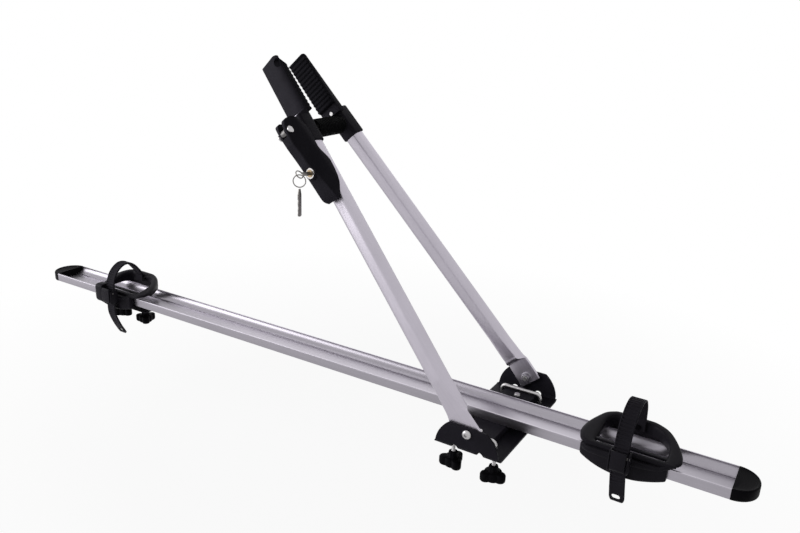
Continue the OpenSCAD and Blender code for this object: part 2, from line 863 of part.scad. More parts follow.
module rear_holder() {
  color("dimgray") holder(rear_holder_x, rear_strap_x, 0);
}

module front_holder() {
  color("dimgray") holder(-front_holder_x, front_strap_x, 14);
}

// Smooth curve through a list of points, each span cut into even steps
function spline(p, i, f) =
  let (a = p[max(i - 1, 0)], b = p[i], c = p[i + 1], d = p[min(i + 2, len(p) - 1)])
  0.5 * (2 * b + (c - a) * f + (2 * a - 5 * b + 4 * c - d) * f * f + (3 * b - a - 3 * c + d) * f * f * f);
function smooth(p, n) = concat(
  [for (i = [0:len(p) - 2], k = [0:n - 1]) spline(p, i, k / n)],
  [p[len(p) - 1]]);
function side_of(q, i, w) =
  let (d = q[min(i + 1, len(q) - 1)] - q[max(i - 1, 0)])
  q[i] + w * [-d[1], d[0]] / norm(d);

// Loop of the strap over the wheel, from the buckle to the far wall
loop = [[-52.2, rim_z - 9], [-52.2, rim_z + 8], [-50.5, rim_z + 24], [-45, rim_z + 40], [-35, rim_z + 54],
        [-19, rim_z + 65], [-1, rim_z + 68.3], [16, rim_z + 63], [27, rim_z + 48], [30.8, rim_z + 30],
        [31.2, rim_z + 20], [31.2, rim_z + 8]];
front_loop = [[-52.2, rim_z - 9], [-52.2, rim_z + 8], [-50.8, rim_z + 22], [-45.5, rim_z + 37],
              [-35, rim_z + 50.5], [-21, rim_z + 58.6], [-8, rim_z + 56.5], [3, rim_z + 48.5],
              [12, rim_z + 39], [20.5, rim_z + 31.5], [27, rim_z + 26], [30.3, rim_z + 22],
              [31.2, rim_z + 18], [31.2, rim_z + 8]];
rear_tail = [[-55, rim_z - 58], [-54.6, rim_z - 40], [-53.6, rim_z - 22]];
front_tail = [[-35, rim_z - 80], [-44.5, rim_z - 60], [-52.5, rim_z - 38], [-54, rim_z - 22]];

// Flat band along a path, with an eyelet near its free end
module strap(x, path, eye) {
  q = smooth(path, 5);
  w = strap_thick / 2;
  translate([x, 0, 0])
  difference() {
    across_x(strap_width)
      polygon(concat(
        [for (i = [0:len(q) - 1]) side_of(q, i, w)],
        [for (i = [len(q) - 1:-1:0]) side_of(q, i, -w)]));
    translate([0, eye[0], eye[1]]) {
      for (side = [-1, 1])
        translate([side * 3, 0, 0]) rod_y(3.2, -14, 14);
      translate([-3, -14, -3.2]) cube([6, 28, 6.4]);
    }
    translate([0, 0, ring_z + 13]) rod_y(2.1, 20, 40);
  }
}

module rear_strap() {
  color([0.12, 0.12, 0.12]) strap(rear_strap_x, concat(rear_tail, loop), [-55, rim_z - 52]);
}

module front_strap() {
  color([0.12, 0.12, 0.12]) strap(front_strap_x, concat(front_tail, front_loop), [-38.2, rim_z - 74]);
}

// Rivet that fixes the strap to the far wall
module rivet(x) {
  translate([x, 0, ring_z + 13]) {
    rod_y(2, 27.8, 39);
    rod_y(4, 27.8, 29.5);
  }
}

module rear_rivet() {
  color("dimgray") rivet(rear_strap_x);
}

module front_rivet() {
  color("dimgray") rivet(front_strap_x);
}

// Buckle: a back plate on the holder's near wall with two cheeks, and a block beside it on the front one
module buckle(x, block) {
  half = strap_width / 2 + 3;
  translate([x, 0, 0])
  difference() {
    union() {
      translate([-half, buckle_in - 2.4, rim_z - 12]) cube([2 * half, 2.8, 29]);
      for (side = [-1, 1])
        translate([side * (half - 1.2) - 1.2, buckle_in - 17, rim_z - 12]) cube([2.4, 17, 29]);
      if (block > 0)
        translate([-half - block, buckle_in - 17, rim_z - 12]) cube([block + 0.1, 17.4, 37]);
    }
    translate([0, buckle_in - 11, rim_z + 11]) rod_x(2.05, -half - 1, half + 1);
  }
}

module rear_buckle() {
  color([0.2, 0.2, 0.22]) buckle(rear_strap_x, 0);
}

module front_buckle() {
  color([0.2, 0.2, 0.22]) buckle(front_strap_x, front_block);
}

// Cross pin of a buckle
module buckle_pin(x) {
  half = strap_width / 2 + 3;
  translate([x, buckle_in - 11, rim_z + 11]) rod_x(2, -half - 0.4, half + 0.4);
}

module rear_pin() {
  color("gainsboro") buckle_pin(rear_strap_x);
}

module front_pin() {
  color("gainsboro") buckle_pin(front_strap_x);
}

// Ratchet latch that presses on the strap, with a thumb tab on top
module latch(x) {
  width = strap_width + 0.4;
  pin_z = rim_z + 11;
  pin_out_y = buckle_in - 11;
  translate([x, 0, 0])
  difference() {
    across_x(width)
      polygon([[pin_out_y + 3.6, pin_z - 2], [pin_out_y + 2.4, pin_z + 3.4], [pin_out_y, pin_z + 5.6],
               [pin_out_y - 3.5, pin_z + 9], [pin_out_y - 6.5, pin_z + 9.5], [pin_out_y - 7.6, pin_z + 7],
               [pin_out_y - 7.6, pin_z - 17], [pin_out_y - 5.8, pin_z - 20], [pin_out_y - 3, pin_z - 20],
               [pin_out_y - 1.5, pin_z - 6], [pin_out_y + 2, pin_z - 4.5]]);
    translate([0, pin_out_y, pin_z]) rod_x(2.05, -width, width);
  }
}

module rear_latch() {
  color("dimgray") latch(rear_strap_x);
}

module front_latch() {
  color("dimgray") latch(front_strap_x);
}

rail_floor();
near_rail_side();
far_rail_side();
front_cap();
rear_cap();
base_bracket();
bar_pad();
pad_screws();
rail_bolts();
near_ubolt();
far_ubolt();
near_knob_a();
near_knob_b();
far_knob_a();
far_knob_b();
front_seat();
front_bolts();
front_strip();
front_knob_a();
front_knob_b();
pivot_bolts();
pivot_nuts();
pivot_washers();
near_arm();
far_foot();
far_arm();
near_jaw();
far_jaw();
near_pad();
far_pad();
near_pad_screws();
far_pad_screws();
clamp_rod();
rod_nut();
clamp_spring();
cam_pin();
lever();
lock_barrel();
lock_plug();
key();
key_ring();
spare_key();
rear_holder();
front_holder();
rear_strap();
front_strap();
rear_rivet();
front_rivet();
rear_buckle();
front_buckle();
rear_pin();
front_pin();
rear_latch();
front_latch();
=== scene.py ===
"""Roof mounted bike carrier: a wheel rail on clamp feet, a folding clamp frame and two wheel holders."""
import bpy
import numpy as np
from mathutils import Matrix, Vector


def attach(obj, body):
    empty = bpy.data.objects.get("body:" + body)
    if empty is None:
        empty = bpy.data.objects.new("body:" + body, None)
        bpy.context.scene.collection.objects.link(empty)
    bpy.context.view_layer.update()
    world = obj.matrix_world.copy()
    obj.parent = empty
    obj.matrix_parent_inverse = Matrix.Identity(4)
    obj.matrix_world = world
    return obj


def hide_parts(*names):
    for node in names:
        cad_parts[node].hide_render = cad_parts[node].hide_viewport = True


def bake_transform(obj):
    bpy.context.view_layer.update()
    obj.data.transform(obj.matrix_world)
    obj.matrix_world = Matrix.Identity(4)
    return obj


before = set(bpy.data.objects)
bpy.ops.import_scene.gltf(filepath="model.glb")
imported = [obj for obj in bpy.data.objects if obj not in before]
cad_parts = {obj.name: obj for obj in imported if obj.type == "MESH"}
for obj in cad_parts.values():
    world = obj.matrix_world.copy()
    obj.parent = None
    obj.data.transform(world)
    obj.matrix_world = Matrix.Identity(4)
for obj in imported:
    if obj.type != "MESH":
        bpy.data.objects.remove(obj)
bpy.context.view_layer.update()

# Studio: a pale floor well below the carrier, white surroundings and three soft boxes.
# The camera stands where the photograph of 800 by 533 was taken from.
scene = bpy.context.scene
scene.view_settings.view_transform = "Standard"


def linear(code):
    """Colour of an sRGB hex code in linear light: each channel below 0.04045 is divided by 12.92,
    the others are raised to the power 2.4 after the usual offset."""
    c = np.array([int(code[i:i + 2], 16) for i in (1, 3, 5)]) / 255
    c = np.where(c < 0.04045, c / 12.92, ((c + 0.055) / 1.055) ** 2.4)
    return (*c.tolist(), 1.0)


def node(material, kind, inputs=None, **properties):
    """Adds one shader node. An input given as (node, output) is linked, any other value is set."""
    made = material.node_tree.nodes.new(kind)
    for name, value in properties.items():
        setattr(made, name, value)
    for name, value in (inputs or {}).items():
        if isinstance(value, tuple) and isinstance(value[0], bpy.types.Node):
            material.node_tree.links.new(value[0].outputs[value[1]], made.inputs[name])
        else:
            made.inputs[name].default_value = value
    return made


def cleared(made):
    """Turns on the nodes of a material or a world and takes out those that it starts with."""
    made.use_nodes = True
    made.node_tree.nodes.clear()
    return made


def ranged(material, source, low, high, start=0.3, stop=0.7):
    """Maps the output (node, name) evenly from the range start to stop onto the range low to high."""
    return node(material, "ShaderNodeMapRange", {
        "Value": source, "From Min": start, "From Max": stop, "To Min": low, "To Max": high})


camera_data = bpy.data.cameras.new("camera")
camera_data.sensor_width = 36
camera_data.lens = 34.217
camera_data.clip_end = 60
camera = bpy.data.objects.new("camera", camera_data)
camera.matrix_world = Matrix((
    (0.8511619, -0.1975535, 0.4863086, 0.39001),
    (0.5236627, 0.2559294, -0.8125746, -0.96215),
    (0.0360663, 0.9462942, 0.3212887, 0.58998),
    (0, 0, 0, 1)))
scene.collection.objects.link(camera)
scene.camera = camera

studio = cleared(bpy.data.worlds.new("studio"))
path = node(studio, "ShaderNodeLightPath")
seen = node(studio, "ShaderNodeMath", {0: (path, "Is Camera Ray"), 1: (path, "Is Glossy Ray")},
            operation="MAXIMUM")
seen = node(studio, "ShaderNodeMath", {0: (seen, 0), 1: (path, "Is Transmission Ray")}, operation="MAXIMUM")
soft = node(studio, "ShaderNodeBackground", {"Color": (1, 1, 1, 1), "Strength": 0.1})
white = node(studio, "ShaderNodeBackground", {"Color": (1, 1, 1, 1), "Strength": 1.0})
sky = node(studio, "ShaderNodeMixShader", {0: (seen, 0), 1: (soft, 0), 2: (white, 0)})
node(studio, "ShaderNodeOutputWorld", {"Surface": (sky, 0)})
scene.world = studio

floor_z = -0.2
paper = cleared(bpy.data.materials.new("white_paper"))
path = node(paper, "ShaderNodeLightPath")
seen = node(paper, "ShaderNodeMath", {0: (path, "Is Camera Ray"), 1: (path, "Is Glossy Ray")},
            operation="MAXIMUM")
place = node(paper, "ShaderNodeTexCoord")
away = node(paper, "ShaderNodeVectorMath", {0: (place, "Object"), 1: (-0.35, 0.1, floor_z)},
            operation="DISTANCE")
fade = ranged(paper, (away, "Value"), 0.92, 1.0, 0.4, 1.2)
diffuse = node(paper, "ShaderNodeBsdfDiffuse", {"Color": linear("#F4F4F4")})
glow = node(paper, "ShaderNodeEmission", {"Color": (1, 1, 1, 1), "Strength": 1.0})
lit = node(paper, "ShaderNodeMixShader", {0: (fade, 0), 1: (diffuse, 0), 2: (glow, 0)})
both = node(paper, "ShaderNodeMixShader", {0: (seen, 0), 1: (diffuse, 0), 2: (lit, 0)})
node(paper, "ShaderNodeOutputMaterial", {"Surface": (both, 0)})
floor_mesh = bpy.data.meshes.new("floor")
floor_mesh.from_pydata([(x, y, floor_z) for x, y in ((-20, -20), (20, -20), (20, 20), (-20, 20))], [],
                       [(0, 1, 2, 3)])
floor_mesh.materials.append(paper)
floor = bpy.data.objects.new("floor", floor_mesh)
scene.collection.objects.link(floor)

for name, place, power, size in (("key_lamp", (-3.0, -1.9, 1.2), 52, 2.6),
                                 ("side_lamp", (-2.2, -1.2, 0.6), 8, 1.6),
                                 ("back_lamp", (-1.2, 2.1, 1.25), 13, 2.4)):
    lamp = bpy.data.lights.new(name, "AREA")
    lamp.energy = power
    lamp.size = size
    box = bpy.data.objects.new(name, lamp)
    box.location = place
    box.rotation_euler = (Vector((-0.3, 0, 0.2)) - box.location).to_track_quat("-Z", "Y").to_euler()
    scene.collection.objects.link(box)


# Wheel rail: an extruded aluminium channel with hollow side walls and a flat floor groove.
# It is drawn through one die, cut to length and anodised in a satin silver.
def fillet(corners, radius, steps=5):
    """Outlines with rounded corners. Each corner becomes a parabola from radius before it to radius
    after it, with the corner as control point; the reach is held to 0.45 of the shorter side."""
    p = np.asarray(corners, float)
    to_last, to_next = np.roll(p, 1, -2) - p, np.roll(p, -1, -2) - p
    last, ahead = (np.linalg.norm(d, axis=-1) + 1e-9 for d in (to_last, to_next))
    reach = np.minimum(radius, 0.45 * np.minimum(last, ahead))
    a = (p + to_last * (reach / last)[..., None])[..., None, :]
    b = (p + to_next * (reach / ahead)[..., None])[..., None, :]
    f = np.linspace(0, 1, steps)[:, None]
    rows = (1 - f) ** 2 * a + 2 * f * (1 - f) * p[..., None, :] + f ** 2 * b
    return rows.reshape(*p.shape[:-2], -1, 2)


def skin(grid, loop=False):
    """Closed skin over a grid of points: row i is a cross section closed on itself and joins row i + 1.
    The last row joins the first when loop is true; otherwise both end rows get a flat cap.
    Faces are turned over when the volume they enclose comes out negative."""
    m, k = grid.shape[:2]
    i, j = np.meshgrid(np.arange(m if loop else m - 1), np.arange(k), indexing="ij")
    below, above, right = i * k, (i + 1) % m * k, (j + 1) % k
    quads = np.stack([below + j, below + right, above + right, above + j], -1).reshape(-1, 4)
    v = grid.reshape(-1, 3)
    w = v - v.mean(0)
    a, b, c, d = (w[quads[:, n]] for n in range(4))
    volume = np.einsum("ij,ij->", a, np.cross(b, c)) + np.einsum("ij,ij->", a, np.cross(c, d))
    faces = quads.tolist()
    if not loop:
        faces += [list(range(k))[::-1], list(range((m - 1) * k, m * k))]
        first, last = w[:k], w[-k:]
        volume -= np.einsum("j,ij->", first.mean(0), np.cross(first, np.roll(first, -1, 0)))
        volume += np.einsum("j,ij->", last.mean(0), np.cross(last, np.roll(last, -1, 0)))
    return v, faces if volume > 0 else [f[::-1] for f in faces]


def carried(x, rows):
    """Sections of the Y-Z plane set out along X: row i stands at place x[i]."""
    return np.concatenate([np.broadcast_to(np.reshape(x, (-1, 1, 1)), (*rows.shape[:2], 1)), rows], 2)


def piece(name, skins, material, body, replaced, crease=38):
    """Puts skins, given in millimetres, into one mesh object with its material, ties it to its body and hides
    the nodes it replaces.
    Edges sharper than crease degrees stay sharp. A piece with no body is left loose, and its caller bakes its
    placement into the mesh."""
    points, faces, count = [], [], 0
    for v, f in skins:
        points.append(v)
        faces += [[n + count for n in face] for face in f]
        count += len(v)
    mesh = bpy.data.meshes.new(name)
    mesh.from_pydata((np.concatenate(points) / 1000).tolist(), [], faces)
    mesh.shade_smooth()
    mesh.set_sharp_from_angle(angle=np.radians(crease))
    mesh.materials.append(material)
    made = bpy.data.objects.new(name, mesh)
    scene.collection.objects.link(made)
    if body:
        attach(made, body)
    if replaced:
        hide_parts(*replaced)
    return made


def drawn(name, code, roughness, turn, lines, rim_highlight_heights=(1.0, 1.1)):
    """Satin anodised aluminium: faint die lines run along the drawn length and vary gloss and colour.
    turn lays the lines along the piece, lines is their spacing in millimetres, coarser than life to show.
    From the lower to the upper of the two heights in the last argument, in metres, the colour is painted up
    to a fifth brighter and stays so above:
    a painted highlight along the rims for the light they catch; the heights given when none are asked for lie
    above the whole carrier."""
    made = cleared(bpy.data.materials.new(name))
    place = node(made, "ShaderNodeTexCoord")
    along = node(made, "ShaderNodeMapping", {
        "Vector": (place, "Object"), "Rotation": turn, "Scale": (0.25, lines / 1000, lines / 1000)},
        vector_type="TEXTURE")
    streak = node(made, "ShaderNodeTexNoise", {"Vector": (along, 0), "Scale": 1.0, "Detail": 3.0})
    cloud = node(made, "ShaderNodeTexNoise", {"Vector": (place, "Object"), "Scale": 14.0, "Detail": 2.0})
    mixed = node(made, "ShaderNodeMath", {0: (streak, 0), 1: (cloud, 0)}, operation="MULTIPLY")
    tone = ranged(made, (mixed, 0), 0.95, 1.03, 0.12, 0.4)
    height = node(made, "ShaderNodeSeparateXYZ", {"Vector": (place, "Object")})
    # Painted highlight: the colour is lifted between two heights for the light caught along the rims.
    painted_rim_highlight = ranged(made, (height, "Z"), 1.0, 1.2, *rim_highlight_heights)
    tone = node(made, "ShaderNodeMath", {0: (tone, 0), 1: (painted_rim_highlight, 0)}, operation="MULTIPLY")
    colour = node(made, "ShaderNodeVectorMath", {0: linear(code)[:3], "Scale": (tone, 0)}, operation="SCALE")
    gloss = ranged(made, (streak, 0), roughness - 0.03, roughness + 0.03)
    relief = node(made, "ShaderNodeBump", {"Height": (streak, 0), "Strength": 0.02, "Distance": 0.0001})
    metal = node(made, "ShaderNodeBsdfPrincipled", {
        "Base Color": (colour, 0), "Metallic": 1.0, "Roughness": (gloss, 0), "Normal": (relief, 0)})
    node(made, "ShaderNodeOutputMaterial", {"Surface": (metal, 0)})
    return made


# From 27.2 mm up, and fully from 28.4 mm, the rail's colour is painted brighter: a painted highlight along
# the top rims of its walls.
rail_finish = drawn("rail_anodised_aluminium", "#A09CA4", 0.34, (0, 0, 0), 2.4, (0.0272, 0.0284))
rail_low, rail_high = 13.2, 28.7
rail_front, rail_rear = -1015.0, 335.0
turn = np.radians(np.linspace(90, 0, 14))
flare = np.stack([16 + 13.7 * np.sin(turn), rail_low + 4.6 + 10.9 * (1 - np.cos(turn))], 1)
half = np.concatenate([
    fillet([(30, rail_low), (31.9, rail_low), (31.9, rail_high), (30, rail_high)], [0, 1, 1, 0])[5:-5],
    flare, [(15.6, rail_low + 2.6), (15.2, rail_low + 2.4)]])
outline = np.concatenate([half, half[::-1] * (-1, 1)])
grid = carried([rail_front, rail_rear], np.stack([outline, outline]))
piece("wheel_rail", [skin(grid)], rail_finish, "base", ["rail_floor", "near_rail_side", "far_rail_side"],
      crease=24)


# End caps: moulded black plastic, pushed into the rail's side chambers with two tongues each.
# The rim follows the rail's walls and the top is slightly dished.
def moulded(name, code, roughness, grain, depth, gloss=0.35):
    """Moulded plastic: a fine spark grain of the given size and depth in millimetres, drawn coarse enough
    to show, with slow changes of colour and roughness where the melt flowed. gloss is its level of shine."""
    made = cleared(bpy.data.materials.new(name))
    place = node(made, "ShaderNodeTexCoord")
    pits = node(made, "ShaderNodeTexNoise", {
        "Vector": (place, "Object"), "Scale": 1000 / grain, "Detail": 2.0})
    flow = node(made, "ShaderNodeTexNoise", {"Vector": (place, "Object"), "Scale": 35.0, "Detail": 3.0})
    tone = ranged(made, (flow, 0), 0.85, 1.2)
    colour = node(made, "ShaderNodeVectorMath", {0: linear(code)[:3], "Scale": (tone, 0)}, operation="SCALE")
    shine = ranged(made, (flow, 0), roughness - 0.05, roughness + 0.05)
    relief = node(made, "ShaderNodeBump", {"Height": (pits, 0), "Strength": 0.25, "Distance": depth / 1000})
    body = node(made, "ShaderNodeBsdfPrincipled", {
        "Base Color": (colour, 0), "Roughness": (shine, 0), "Normal": (relief, 0),
        "Specular IOR Level": gloss})
    node(made, "ShaderNodeOutputMaterial", {"Surface": (body, 0)})
    return made


knob_finish = moulded("black_polypropylene", "#151417", 0.48, 0.7, 0.12, gloss=0.02)
turn = np.radians(np.linspace(-90, 90, 41))
outline = np.concatenate([np.stack([31 * np.cos(turn), 32.4 * np.sin(turn)], 1),
                          np.stack([np.zeros(15), np.linspace(32.4, -32.4, 17)[1:-1]], 1)])
share, height = np.array([
    (0.02, 12.8), (0.94, 12.8), (0.985, 13.2), (1, 14.2), (1, 26.4), (0.99, 27.9), (0.965, 28.9),
    (0.93, 29.1), (0.895, 28.9), (0.86, 28.6), (0.8, 28.2), (0.7, 27.8), (0.5, 27.5), (0.25, 27.3),
    (0.02, 27.2)]).T
middle = np.array((11.0, 0.0))
plan = middle + share[:, None, None] * (outline - middle)
grid = np.concatenate([plan, np.broadcast_to(height[:, None, None], (*plan.shape[:2], 1))], 2)
for name, x, flip in (("rear_end_cap", rail_rear, 1), ("front_end_cap", rail_front, -1)):
    piece(name, [skin(grid * (flip, 1, 1) + (x, 0, 0))], knob_finish, "base",
          [name.replace("end_", "")], crease=50)


# Base bracket, bar seat and clamp strip: pressed steel sheet in satin black paint and moulded blocks.
# The solids keep their shape; a small rounding along the edges catches the light as paint does.
def dress(names, material, bevel=0.0):
    """Gives solids that keep their shape a finish; weld joins their triangles and bevel, in millimetres,
    rounds the edges where faces meet at more than 30 degrees."""
    for solid in (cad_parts[name] for name in names):
        for place in solid.material_slots:
            place.material = material
        if bevel:
            solid.modifiers.new("weld", "WELD").merge_threshold = 1e-5
            edge = solid.modifiers.new("edges", "BEVEL")
            edge.width, edge.segments, edge.limit_method = bevel / 1000, 2, "ANGLE"
            edge.angle_limit = np.radians(30)
            edge.harden_normals = True


def painted(name, code, roughness):
    """Stoved paint on steel: a soft orange peel of about 2 mm and slow changes of colour and roughness."""
    made = cleared(bpy.data.materials.new(name))
    place = node(made, "ShaderNodeTexCoord")
    peel = node(made, "ShaderNodeTexNoise", {"Vector": (place, "Object"), "Scale": 500.0, "Detail": 1.0})
    flow = node(made, "ShaderNodeTexNoise", {"Vector": (place, "Object"), "Scale": 40.0, "Detail": 3.0})
    tone = ranged(made, (flow, 0), 0.85, 1.15)
    colour = node(made, "ShaderNodeVectorMath", {0: linear(code)[:3], "Scale": (tone, 0)}, operation="SCALE")
    shine = ranged(made, (flow, 0), roughness - 0.05, roughness + 0.06)
    relief = node(made, "ShaderNodeBump", {"Height": (peel, 0), "Strength": 0.12, "Distance": 0.0002})
    coat = node(made, "ShaderNodeBsdfPrincipled", {
        "Base Color": (colour, 0), "Roughness": (shine, 0), "Normal": (relief, 0),
        "Specular IOR Level": 0.03})
    node(made, "ShaderNodeOutputMaterial", {"Surface": (coat, 0)})
    return made


def plated(name, code, roughness, spot):
    """Plated metal: crystals of the given size in millimetres, drawn coarse, mottle its gloss and colour."""
    made = cleared(bpy.data.materials.new(name))
    place = node(made, "ShaderNodeTexCoord")
    spots = node(made, "ShaderNodeTexNoise", {
        "Vector": (place, "Object"), "Scale": 1000 / spot, "Detail": 3.0})
    tone = ranged(made, (spots, 0), 0.82, 1.06)
    colour = node(made, "ShaderNodeVectorMath", {0: linear(code)[:3], "Scale": (tone, 0)}, operation="SCALE")
    shine = ranged(made, (spots, 0), roughness - 0.07, roughness + 0.09)
    metal = node(made, "ShaderNodeBsdfPrincipled", {
        "Base Color": (colour, 0), "Metallic": 1.0, "Roughness": (shine, 0)})
    node(made, "ShaderNodeOutputMaterial", {"Surface": (metal, 0)})
    return made


bracket_finish = painted("satin_black_paint", "#2B2930", 0.42)
zinc_finish = plated("zinc_plated_steel", "#B9B7B8", 0.34, 2.5)
dull_finish = plated("dull_zinc", "#8B888F", 0.44, 2.5)
rubber_finish = moulded("black_rubber", "#222126", 0.7, 1.1, 0.1, gloss=0.02)
dress(["base_bracket"], bracket_finish, 0.5)
dress(["front_strip"], bracket_finish, 0.4)
dress(["front_seat"], knob_finish, 1.0)
dress(["pad_screws", "rail_bolts", "front_bolts"], zinc_finish, 0.3)
dress(["pivot_washers"], knob_finish, 0.2)

# Seat rubber: a moulded strip in the hollow of the bead, ribbed across where the roof bar presses on it.
# It is held by the two pad screws and leaves the rail bolts' nuts free in its middle.
y = np.concatenate([np.linspace(-92, -9.4, 166), np.linspace(9.4, 92, 166)]).reshape(2, -1)
rib = 0.5 + 0.5 * np.tanh(3 * np.sin(2 * np.pi * y / 5.9))
close = np.clip(np.minimum(y - y[:, :1], y[:, -1:] - y) / 1.2, 0, 1)
seat = []
for row, low, shut in zip(y, rib, close):
    inset = 0.8 * (1 - shut)
    under, over = 0.1 + 0.8 * low + inset, 10.1 - inset
    corners = [np.stack([side * (21.7 - inset), z], 1) for side, z in (
        (-1, under), (1, under), (1, over), (-1, over))]
    rows = fillet(np.stack(corners, 1), 0.8)
    across = np.broadcast_to(row[:, None], rows.shape[:2])
    seat.append(skin(np.stack([rows[..., 0], across, rows[..., 1]], 2)))
piece("bar_seat_rubber", seat, rubber_finish, "base", ["bar_pad"], crease=44)

# Bar clamp screws: round zinc plated bar, bent over the bead, with rolled threads on both legs.
# A star knob of black plastic runs on each leg and draws the roof bar up against the seat.
leg_x, screw_y, knob_top, strip_knob_top = 32.5, 84, -21, -9.8
ring = np.radians(np.arange(0, 360, 20))
leg = np.linspace(-39, 10.25, 300)
bend = np.radians(np.linspace(0, 90, 9))[1:]
arc = np.stack([-leg_x + 6 * (1 - np.cos(bend)), 10.25 + 6 * np.sin(bend)], 1)
left = np.concatenate([np.stack([np.full(300, -leg_x), leg], 1), arc, [(-10, 16.25)]])
route = np.concatenate([left, left[::-1] * (-1, 1)])
step = np.gradient(route, axis=0)
step /= np.linalg.norm(step, axis=1)[:, None]
normal = np.stack([-step[:, 1], step[:, 0]], 1)
cut = np.clip((2 - route[:, 1]) / 2, 0, 1)[:, None]
radius = 3 - cut * 0.3 * (0.5 + 0.5 * np.cos(2 * np.pi * route[:, 1:] / 1.25 + ring))
bar = np.stack([route[:, :1] + radius * np.cos(ring) * normal[:, :1], radius * np.sin(ring),
                route[:, 1:] + radius * np.cos(ring) * normal[:, 1:]], 2)
for side, y in (("near", -screw_y), ("far", screw_y)):
    piece(f"{side}_clamp_screw", [skin(bar + (0, y, 0))], zinc_finish, "base", [f"{side}_ubolt"])

turn = np.radians(np.arange(0, 360, 3))
off = np.abs((np.degrees(turn) + 60) % 120 - 60)
reach = np.clip(7 ** 2 - (13.5 * np.sin(np.radians(off))) ** 2, 0, None)
lobe = np.where(off < 31, 13.5 * np.cos(np.radians(off)) + np.sqrt(reach), 0)
star = 0.985 * (13.4 ** 10 + lobe ** 10) ** 0.1
level, spread, share = np.array([
    (0, 5.2, 0), (-0.1, 6.1, 0), (-0.7, 6.8, 0), (-1.6, 7, 0), (-7.6, 8, 0), (-8.5, 8.8, 0),
    (-8.9, 9.8, 0.12), (-9.1, 0, 0.7), (-9.3, 0, 0.86), (-10, 0, 0.95), (-11.5, 0, 1), (-18.5, 0, 1),
    (-20.6, 0, 0.985), (-22, 0, 0.94), (-22.8, 0, 0.86), (-23, 0, 0.75), (-22.6, 0, 0.6), (-22.4, 0, 0.02)]).T
flutes = 1 - 0.07 * (0.5 + 0.5 * np.cos(9 * turn))
radius = np.maximum(spread[:, None] * flutes, share[:, None] * star)
for name, body, x, y, top, start in (
        ("near_knob_a", "near_front_knob", -leg_x, -screw_y, knob_top, -8),
        ("near_knob_b", "near_rear_knob", leg_x, -screw_y, knob_top, 22),
        ("far_knob_a", "far_front_knob", -leg_x, screw_y, knob_top, 0),
        ("far_knob_b", "far_rear_knob", leg_x, screw_y, knob_top, 40),
        ("front_knob_a", "strip_front_knob", -850, 0, strip_knob_top, 30),
        ("front_knob_b", "strip_rear_knob", -785, 0, strip_knob_top, -9)):
    angle = turn + np.radians(start + 90)
    grid = np.stack([x + radius * np.cos(angle), y + radius * np.sin(angle),
                     np.broadcast_to(top + level[:, None], radius.shape)], 2)
    piece(f"{name}_star", [skin(grid)], knob_finish, body, [name], crease=44)

# Pivot bolts: zinc plated button heads with a hexagon socket outside the flanges, shanks through the feet.
# A flanged nut with a round skirt holds each foot of the arms from inside.
pivot_z = 31
ring = np.radians(np.arange(0, 360, 7.5))
six_sided = 1 / np.cos((ring + np.pi / 6) % (np.pi / 3) - np.pi / 6)
hexagon = 2.6 * six_sided
place, radius = np.array([
    (94.4, 3.5), (94.8, 3.9), (112.05, 4), (112.05, 6.6), (113, 7), (114, 6.7), (115.2, 5.6), (116, 4.2),
    (116.3, 3.3)]).T
wall = np.concatenate([np.broadcast_to(radius[:, None], (9, 48)), [hexagon, hexagon * 0.98, hexagon * 0.1]])
depth = np.concatenate([place, [116.2, 114, 113.8]])[:, None] + 0 * ring
for side, flip in (("near", -1), ("far", 1)):
    bolt = np.stack([wall * np.cos(ring), flip * depth, pivot_z + wall * np.sin(ring)], 2)
    piece(f"{side}_pivot_bolt", [skin(bolt)], zinc_finish, "base", ["pivot_bolts"], crease=30)
place, radius, six = np.array([
    (103.3, 4.1, 0), (103.3, 8.6, 0), (102.3, 8.7, 0), (101.8, 8.2, 0), (101.5, 7.2, 0), (101.4, 6.4, 1),
    (96.2, 6.4, 1), (95.6, 6.2, 0.4), (95.3, 5.4, 0), (95.3, 4.4, 0), (95.7, 4.1, 0)]).T
wall = radius[:, None] * (1 + six[:, None] * (six_sided - 1))
for side, flip in (("near", -1), ("far", 1)):
    nut = np.stack([wall * np.cos(ring), flip * place[:, None] + 0 * wall, pivot_z + wall * np.sin(ring)], 2)
    piece(f"{side}_pivot_nut", [skin(nut, loop=True)], dull_finish, "base", ["pivot_nuts"],
          crease=30)


# Frame arms: square aluminium tube with round corners, satin anodised.
# Each lower end is crushed flat, drilled for the pivot bolt and trimmed round.
lean, splay = np.radians(41), np.arctan(75 / 700)
arm_base, tube_half = 105, 12.5


def leaning(n, y, s):
    """Point of the leaning frame: n out of its plane, y across, s up along it from the pivot, where the
    plane leans 41 degrees from upright towards the front end of the rail."""
    return np.stack(np.broadcast_arrays(n * np.cos(lean) - s * np.sin(lean), y,
                                        pivot_z + n * np.sin(lean) + s * np.cos(lean)), -1)


def on_arm(n, across, t):
    """Point in the near arm's own axes: across it away from the camera, t up along the arm, which leans
    in by the splay from a base 105 mm off the middle."""
    return leaning(n, across * np.cos(splay) + t * np.sin(splay) - arm_base,
                   t * np.cos(splay) - across * np.sin(splay))


def rounded(low, high, radius, steps=7):
    """Rows of rectangles with round corners, from corner low to corner high with the given four corner
    radii: each corner is a quarter circle about a centre one radius in from both sides."""
    low, high, radius = (np.asarray(a, float)[..., None, :] for a in (low, high, radius))
    start = np.radians([180, 270, 0, 90])[:, None] + np.radians(np.linspace(0, 90, steps))
    side = np.array([(0, 0), (1, 0), (1, 1), (0, 1)])
    r = np.swapaxes(radius, -1, -2)
    corner = np.where(side == 0, low + r, high - r)
    way = np.stack([np.cos(start), np.sin(start)], -1)
    rows = corner[..., None, :] + r[..., None] * way
    return rows.reshape(*rows.shape[:-3], -1, 2)


